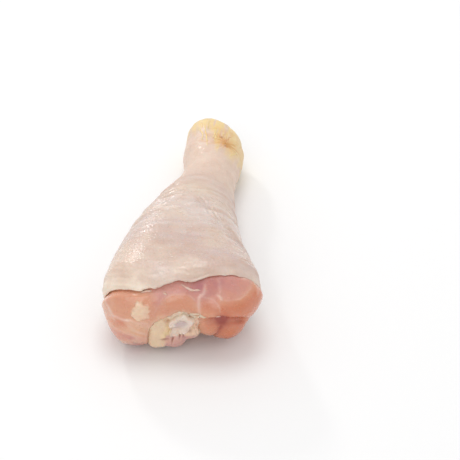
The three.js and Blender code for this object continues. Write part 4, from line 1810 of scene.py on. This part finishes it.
@dataclass
class Bone:
    """The shin bone, whose head and condyles show."""

    columns: int = 300
    head_rows: int = 170
    shaft_rows: int = 24
    hock_rows: int = 60
    end_length: float = 26.0  # arc at each end where the rows are close
    hollow: Spot = Spot(-1.3, 0.7, 2.7, 1.55, 8.0)
    rags: Spot = Spot(4.6, 0.4, 2.0, 3.4, -15.0)
    gap: Spot = Spot(2.6, 3.7, 1.5, 0.5, -18.0)
    crack: Spot = Spot(-7.7, -5.1, 1.3, 0.45, 6.0)
    bruise: Spot = Spot(1.9, -1.9, 0.9, 0.7)
    # small hollow beside the knob: sunk, and painted with amber shade
    nook: Spot = Spot(-6.4, 1.7, 1.5, 0.8, -40.0)
    teeth: Spot = Spot(-3.6, -3.4, 1.3, 0.8, -20.0)
    star_outline: tuple[tuple[float, float], ...] = (
        (-39.0, 3.7), (-15.0, 3.4), (12.0, 4.8), (40.0, 3.4), (75.0, 3.9), (95.0, 2.9),
        (149.0, 3.0), (170.0, 4.8), (201.0, 4.4), (228.0, 6.3), (251.0, 3.5),
    )  # degrees round the hollow, and millimetres from it
    grooves: tuple[Point, ...] = (
        (-2.0, -3.7, 1.2), (-0.7, -3.5, 1.1), (-4.9, -5.2, 1.4),
    )  # across, rise and half length
    ridge: tuple[float, float, float, float] = (-5.4, 1.2, -7.7, -3.8)  # across and rise of its two ends
    plateau_height: float = 0.55
    lip_height: float = 0.3
    hollow_depth: float = 0.75
    ridge_height: float = 0.45
    groove_depth: float = 0.6
    rag_height: float = 0.5
    frayed_height: float = 0.35

    def rows(self) -> tuple[Array, Array]:
        """Rows of the bone: close together at its two ends.

        Returns:
            Arc and angle of each point.
        """
        total = SHIN_BONE.spine.arc
        head = np.linspace(0.0, self.end_length, self.head_rows + 1)[1:]
        shaft = np.linspace(self.end_length, total - self.end_length, self.shaft_rows + 1)[1:]
        hock = np.linspace(total - self.end_length, total, self.hock_rows + 1)[1:-1]
        along = np.concatenate([head, shaft, hock])
        angle = column_angles(self.columns, len(along))
        return np.broadcast_to(along[:, None], angle.shape), angle

    def star(self, points: Array) -> Array:
        """Millimetres outside the star-shaped plateau round the hollow, with a ragged outline.

        Args:
            points: places in leg millimetres.

        Returns:
            Millimetres, negative inside.
        """
        across, rise = on_cut(points)
        u, v = across - self.hollow.across, rise - self.hollow.rise
        turns, radii = zip(*self.star_outline)
        reach = np.interp(np.degrees(np.arctan2(v, u)), turns, radii, period=360.0)
        return np.hypot(u, v) - reach + 0.3 * noise(points, 1.3, 55)

    def grooved(self, points: Array) -> Array:
        """Short upright grooves under the plateau: a narrow bell across and a wide one up and down.

        Args:
            points: places in leg millimetres.

        Returns:
            Numbers from 0 to 1.
        """
        across, rise = on_cut(points)
        across = across + 0.35 * noise(points, 1.6, 54)
        cuts = [bell(across - u, 0.32) * bell(rise - v, half) for u, v, half in self.grooves]
        return np.max(cuts, axis=0)

    def ridged_line(self, points: Array) -> Array:
        """Bell curve of the distance to the ridge between the knob and the plateau.

        Args:
            points: places in leg millimetres.

        Returns:
            Numbers from 0 to 1.
        """
        across, rise = on_cut(points)
        u0, v0, u1, v1 = self.ridge
        share = (across - u0) * (u1 - u0) + (rise - v0) * (v1 - v0)
        share = np.clip(share / ((u1 - u0) ** 2 + (v1 - v0) ** 2), 0.0, 1.0)
        return bell(np.hypot(across - u0 - share * (u1 - u0), rise - v0 - share * (v1 - v0)), 1.1)

    def relief(self, points: Array) -> Array:
        """Height of the bone: the plateau with its hollow, the ridge beside it, grooves, rags and lumps.

        Args:
            points: places on the plain bone.

        Returns:
            Millimetres outwards.
        """
        head = fall(points[..., 1], 8.0, 14.0)
        star = self.star(points)
        plateau = self.plateau_height * fall(star, -0.4, 0.5) + self.lip_height * bell(star + 0.5, 0.5)
        hollow = -self.hollow_depth * fall(self.hollow.distance(points), 0.45, 1.25)
        ridge = self.ridge_height * self.ridged_line(points) * (0.8 + 0.6 * noise(points, 1.4, 50))
        cuts = self.grooved(points) + self.crack.share(points)
        cuts = self.groove_depth * (cuts + 1.2 * self.gap.share(points) + self.nook.share(points))
        rags = self.rag_height * self.rags.share(points) * ridged(points, (0.9, 1.6, 1.6), 57)
        frayed = bell(above_joint(points) + 0.7, 0.8)
        rags = rags + self.frayed_height * frayed * ramp(noise(points, 1.2, 64), -0.4, 0.6)
        lumps = 0.26 * noise(points, 3.2, 51) + 0.1 * noise(points, 1.3, 52)
        return head * (plateau + hollow + ridge - cuts + rags) + lumps

    def outside(self, points: Array) -> Array:
        """Distance outside the bone with its relief."""
        return SHIN_BONE.distance(points) - self.relief(points)

    def masks(self, points: Array) -> Masks:
        """Where each colour lies on the bone.

        Args:
            points: places on the bone.

        Returns:
            Numbers from 0 to 1 by mask name.
        """
        y = points[..., 1]
        across, rise = on_cut(points)
        head = fall(y, 9.0, 16.0)
        hock = ramp(y, 110.0, 120.0)
        patchy = noise(points, 3.0, 53) + 0.5 * noise(points, 1.1, 58)
        star = self.star(points)
        low = fall(rise + 0.5 * patchy, -4.4, -2.8) * ramp(across, -8.3, -7.2)
        beside = np.clip(self.ridged_line(points) + 0.2 * fall(across + patchy, -11.0, -7.0), 0.0, 1.0)
        teeth = 0.8 * self.teeth.share(points) * ramp(patchy, -0.3, 0.4)
        white = np.clip(fall(star, -0.5, 0.7) + teeth, 0.0, 1.0)
        # dark: painted shade in the grooves, the crack and the gap, with a real bruise; shadow is painted
        # shade beside the plateau
        dark = self.grooved(points) + self.crack.share(points)
        dark = dark + self.bruise.share(points) + self.gap.share(points)
        shadow = bell(star - 0.9, 0.5) * ramp(rise, 0.0, 2.0) * ramp(patchy, -0.5, 0.5)
        return {
            "rag": head * self.rags.share(points),
            "yellow": head * beside,
            # amber: painted shade, orange-brown, in the small hollow beside the knob
            "amber": head * 0.8 * self.nook.share(points),
            "pink": head * low + 0.3 * hock * ramp(patchy, 0.0, 0.7),
            "white": head * white + 0.5 * hock,
            "hollow": head * fall(self.hollow.distance(points) + 0.15 * patchy, 0.55, 1.1),
            "deep": head * np.clip(0.6 * dark + 0.4 * shadow, 0.0, 1.0),
        }

    def build(self, material: Material) -> Object:
        """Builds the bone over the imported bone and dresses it.

        Args:
            material: the cartilage's material.

        Returns:
            The piece.
        """
        piece = closed_piece("shin_bone", SHIN_BONE.surface(*self.rows()), self.relief, self.masks)
        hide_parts("bone")
        settle(piece, "bone", material)
        return piece


@dataclass
class Strands:
    """Strands of tissue in one piece, each a flat tube laid on a surface."""

    name: str
    slot: str
    surfaces: tuple[Field, ...]
    strands: tuple[Strand, ...]
    steps: int = 72
    sides: int = 14
    bedding: float = 0.2  # share of the thickness that lies above the surface at the strand's middle
    first_salt: int = 60
    sway: float = 0.3  # sideways wander of a strand, as a share of its width
    waver: float = 0.35  # change of its width along it, as a share
    fray: float = 0.35  # change of each side's width, as a share
    end_power: float = 0.45  # how blunt its ends are
    tip: float = 0.004  # share of its length at each end that doesn't narrow further
    slope_step: float = 0.05
    slope_moves: int = 6

    def outside(self, points: Array) -> Array:
        """Distance outside the surfaces that the strands lie on, the smallest of them."""
        return np.min([surface(points) for surface in self.surfaces], axis=0)

    def laid(self, points: Array) -> tuple[Array, Array]:
        """Moves points along the slope of the distance until they lie on the surface.

        Args:
            points: places near the surface.

        Returns:
            Places on the surface, and the outward unit normals there.
        """
        normal = np.zeros_like(points)
        for _ in range(self.slope_moves):
            here = self.outside(points)
            slope = [self.outside(points + self.slope_step * axis) - here for axis in np.eye(3)]
            normal = np.stack(slope, axis=-1) / self.slope_step
            normal /= np.linalg.norm(normal, axis=-1, keepdims=True)
            points = points - here[..., None] * normal
        return points, normal

    def tube(self, strand: Strand, salt: int) -> Array:
        """Flat tube on the surface: an ellipse carried along the strand's course, narrowing to both ends.

        Args:
            strand: the strand.
            salt: picks the waver of its width.

        Returns:
            Steps by sides of places.
        """
        middle, normal = self.laid(strand.course(self.steps))
        along = np.gradient(middle, axis=0)
        along /= np.linalg.norm(along, axis=-1, keepdims=True)
        side = np.cross(along, normal)
        middle = middle + (self.sway * strand.width * noise(middle, 1.6, salt + 20))[:, None] * side
        share = np.linspace(0.0, 1.0, self.steps)
        taper = np.power(np.sin(math.pi * np.clip(share, self.tip, 1.0 - self.tip)), self.end_power)
        waver = 1.0 + self.waver * noise(middle, 1.3, salt)
        angle = np.linspace(0.0, 2.0 * math.pi, self.sides, endpoint=False)
        half = 0.5 * (taper * waver)[:, None]
        wide = strand.width * half * np.cos(angle)
        tall = strand.thickness * (half * np.sin(angle) + self.bedding * taper[:, None])
        middle = middle[:, None]
        flat = middle + wide[..., None] * side[:, None]
        flat = middle + (flat - middle) * (1.0 + self.fray * noise(flat, 1.2, salt + 40))[..., None]
        edge, _ = self.laid(flat.reshape(-1, 3))
        return edge.reshape(self.steps, self.sides, 3) + tall[..., None] * normal[:, None]

    def build(self, material: Material) -> Object:
        """Builds every strand into one piece and dresses it.

        Args:
            material: the tissue's material.

        Returns:
            The piece.
        """
        points, quads, triangles = [], [], []
        faces, fans = grid_faces(self.steps, self.sides, False)
        count = self.steps * self.sides + 2
        for number, strand in enumerate(self.strands):
            tube = self.tube(strand, self.first_salt + number)
            points.append(with_poles(tube, tube[0].mean(axis=0), tube[-1].mean(axis=0)))
            quads.append(faces + number * count)
            triangles.append(fans + number * count)
        piece = make_object(self.name, *(np.concatenate(part) for part in (points, quads, triangles)))
        settle(piece, self.slot, material)
        return piece


# The studio


@dataclass(frozen=True)
class Lamp:
    """A square soft light: its place and size in metres, and its power in watts."""

    name: str
    place: Point
    size: float
    power: float

    def build(self, aim: Point) -> Object:
        """Makes the light.

        Args:
            aim: the place that it faces, in metres.

        Returns:
            The light.
        """
        lamp = bpy.data.lights.new(self.name, "AREA")
        lamp.size = self.size
        lamp.energy = self.power
        light = bpy.data.objects.new(self.name, lamp)
        light.location = self.place
        light.rotation_euler = (Vector(aim) - Vector(self.place)).to_track_quat("-Z", "Y").to_euler()
        bpy.context.scene.collection.objects.link(light)
        return light


@dataclass
class Studio:
    """Pale floor, soft lights and the camera at the photograph's viewing angle."""

    image_size: int = 460
    elevation: float = 41.0
    azimuth: float = 6.0
    distance: float = 800.0  # millimetres from the joint to the camera
    focal_pixels: float = 2080.0
    joint_pixel: tuple[float, float] = (183.0, 325.0)
    sensor_width: float = 36.0
    clip_start: float = 0.01
    floor_size: float = 6.0  # metres
    floor_colour: Colour = (0.92, 0.92, 0.92)
    floor_roughness: float = 0.6
    room_colour: Colour = (1.0, 1.0, 1.0)
    room_strength: float = 0.76
    aim: Point = (0.0, 0.0, 0.015)  # metres, the place that the lights face
    lamps: tuple[Lamp, ...] = (
        Lamp("key", (-0.05, 0.2, 0.95), 0.5, 2.5),
        Lamp("back", (-0.42, 0.66, 0.43), 0.09, 0.95),
        Lamp("front", (-0.2, -1.0, 0.6), 0.6, 1.5),
    )

    def camera(self) -> Object:
        """Makes the camera, turned so that the knee joint falls on its pixel of the image.

        Returns:
            The camera, set as the scene's own.
        """
        right, up, back = facing_axes(self.elevation, self.azimuth)
        aim = np.array(JOINT) + LEG_TO_PART
        offset = self.image_size / 2.0 - np.array(self.joint_pixel)
        view = -back * self.focal_pixels + right * offset[0] - up * offset[1]
        lens = bpy.data.cameras.new("camera")
        lens.sensor_width = self.sensor_width
        lens.lens = self.sensor_width * self.focal_pixels / self.image_size
        lens.clip_start = self.clip_start
        camera = bpy.data.objects.new("camera", lens)
        camera.location = Vector((aim + back * self.distance) * MM)
        camera.rotation_euler = Vector(view).to_track_quat("-Z", "Y").to_euler()
        bpy.context.scene.collection.objects.link(camera)
        bpy.context.scene.camera = camera
        return camera

    def floor(self) -> Object:
        """Makes the pale floor, a square grid of one face.

        Returns:
            The floor.
        """
        half = self.floor_size / 2.0
        mesh = bpy.data.meshes.new("floor")
        corners = [(-half, -half, 0), (half, -half, 0), (half, half, 0), (-half, half, 0)]
        mesh.from_pydata(corners, [], [(0, 1, 2, 3)])
        material = bpy.data.materials.new("pale_floor")
        material.use_nodes = True
        shader = material.node_tree.nodes["Principled BSDF"]
        shader.inputs["Base Color"].default_value = (*self.floor_colour, 1.0)
        shader.inputs["Roughness"].default_value = self.floor_roughness
        mesh.materials.append(material)
        floor = bpy.data.objects.new("floor", mesh)
        bpy.context.scene.collection.objects.link(floor)
        return floor

    def build(self) -> None:
        """Builds the studio: floor, lights, white surroundings and camera."""
        scene = bpy.context.scene
        scene.view_settings.view_transform = "Standard"
        world = bpy.data.worlds.new("white_room")
        world.use_nodes = True
        room = world.node_tree.nodes["Background"]
        room.inputs["Color"].default_value = (*self.room_colour, 1.0)
        room.inputs["Strength"].default_value = self.room_strength
        scene.world = world
        self.floor()
        for lamp in self.lamps:
            lamp.build(self.aim)
        self.camera()


def main() -> None:
    """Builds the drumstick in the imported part's frame, then the studio."""
    logging.basicConfig(level=logging.INFO, format="%(name)s %(message)s")
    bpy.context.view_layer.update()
    groups = Groups()
    meat, bone = Meat(), Bone()
    skin = Skin(meat)
    meat.build(MEAT_FINISH.material(groups))
    bone.build(BONE_FINISH.material(groups))
    skin.build(SKIN_FINISH.material(groups))
    folds = Strands("fascia", "meat", (meat.outside,), FASCIA_FOLDS)
    folds.build(FASCIA_FINISH.material(groups))
    rags = Strands("joint_tissue", "bone", (meat.outside, bone.outside), JOINT_RAGS)
    rags.build(TISSUE_FINISH.material(groups))
    fibres = Strands("hock_fibres", "skin", (skin.outside,), HOCK_FIBRES, steps=48, sides=10)
    fibres.build(FIBRE_FINISH.material(groups))
    Studio().build()


if __name__ == "__main__":
    main()
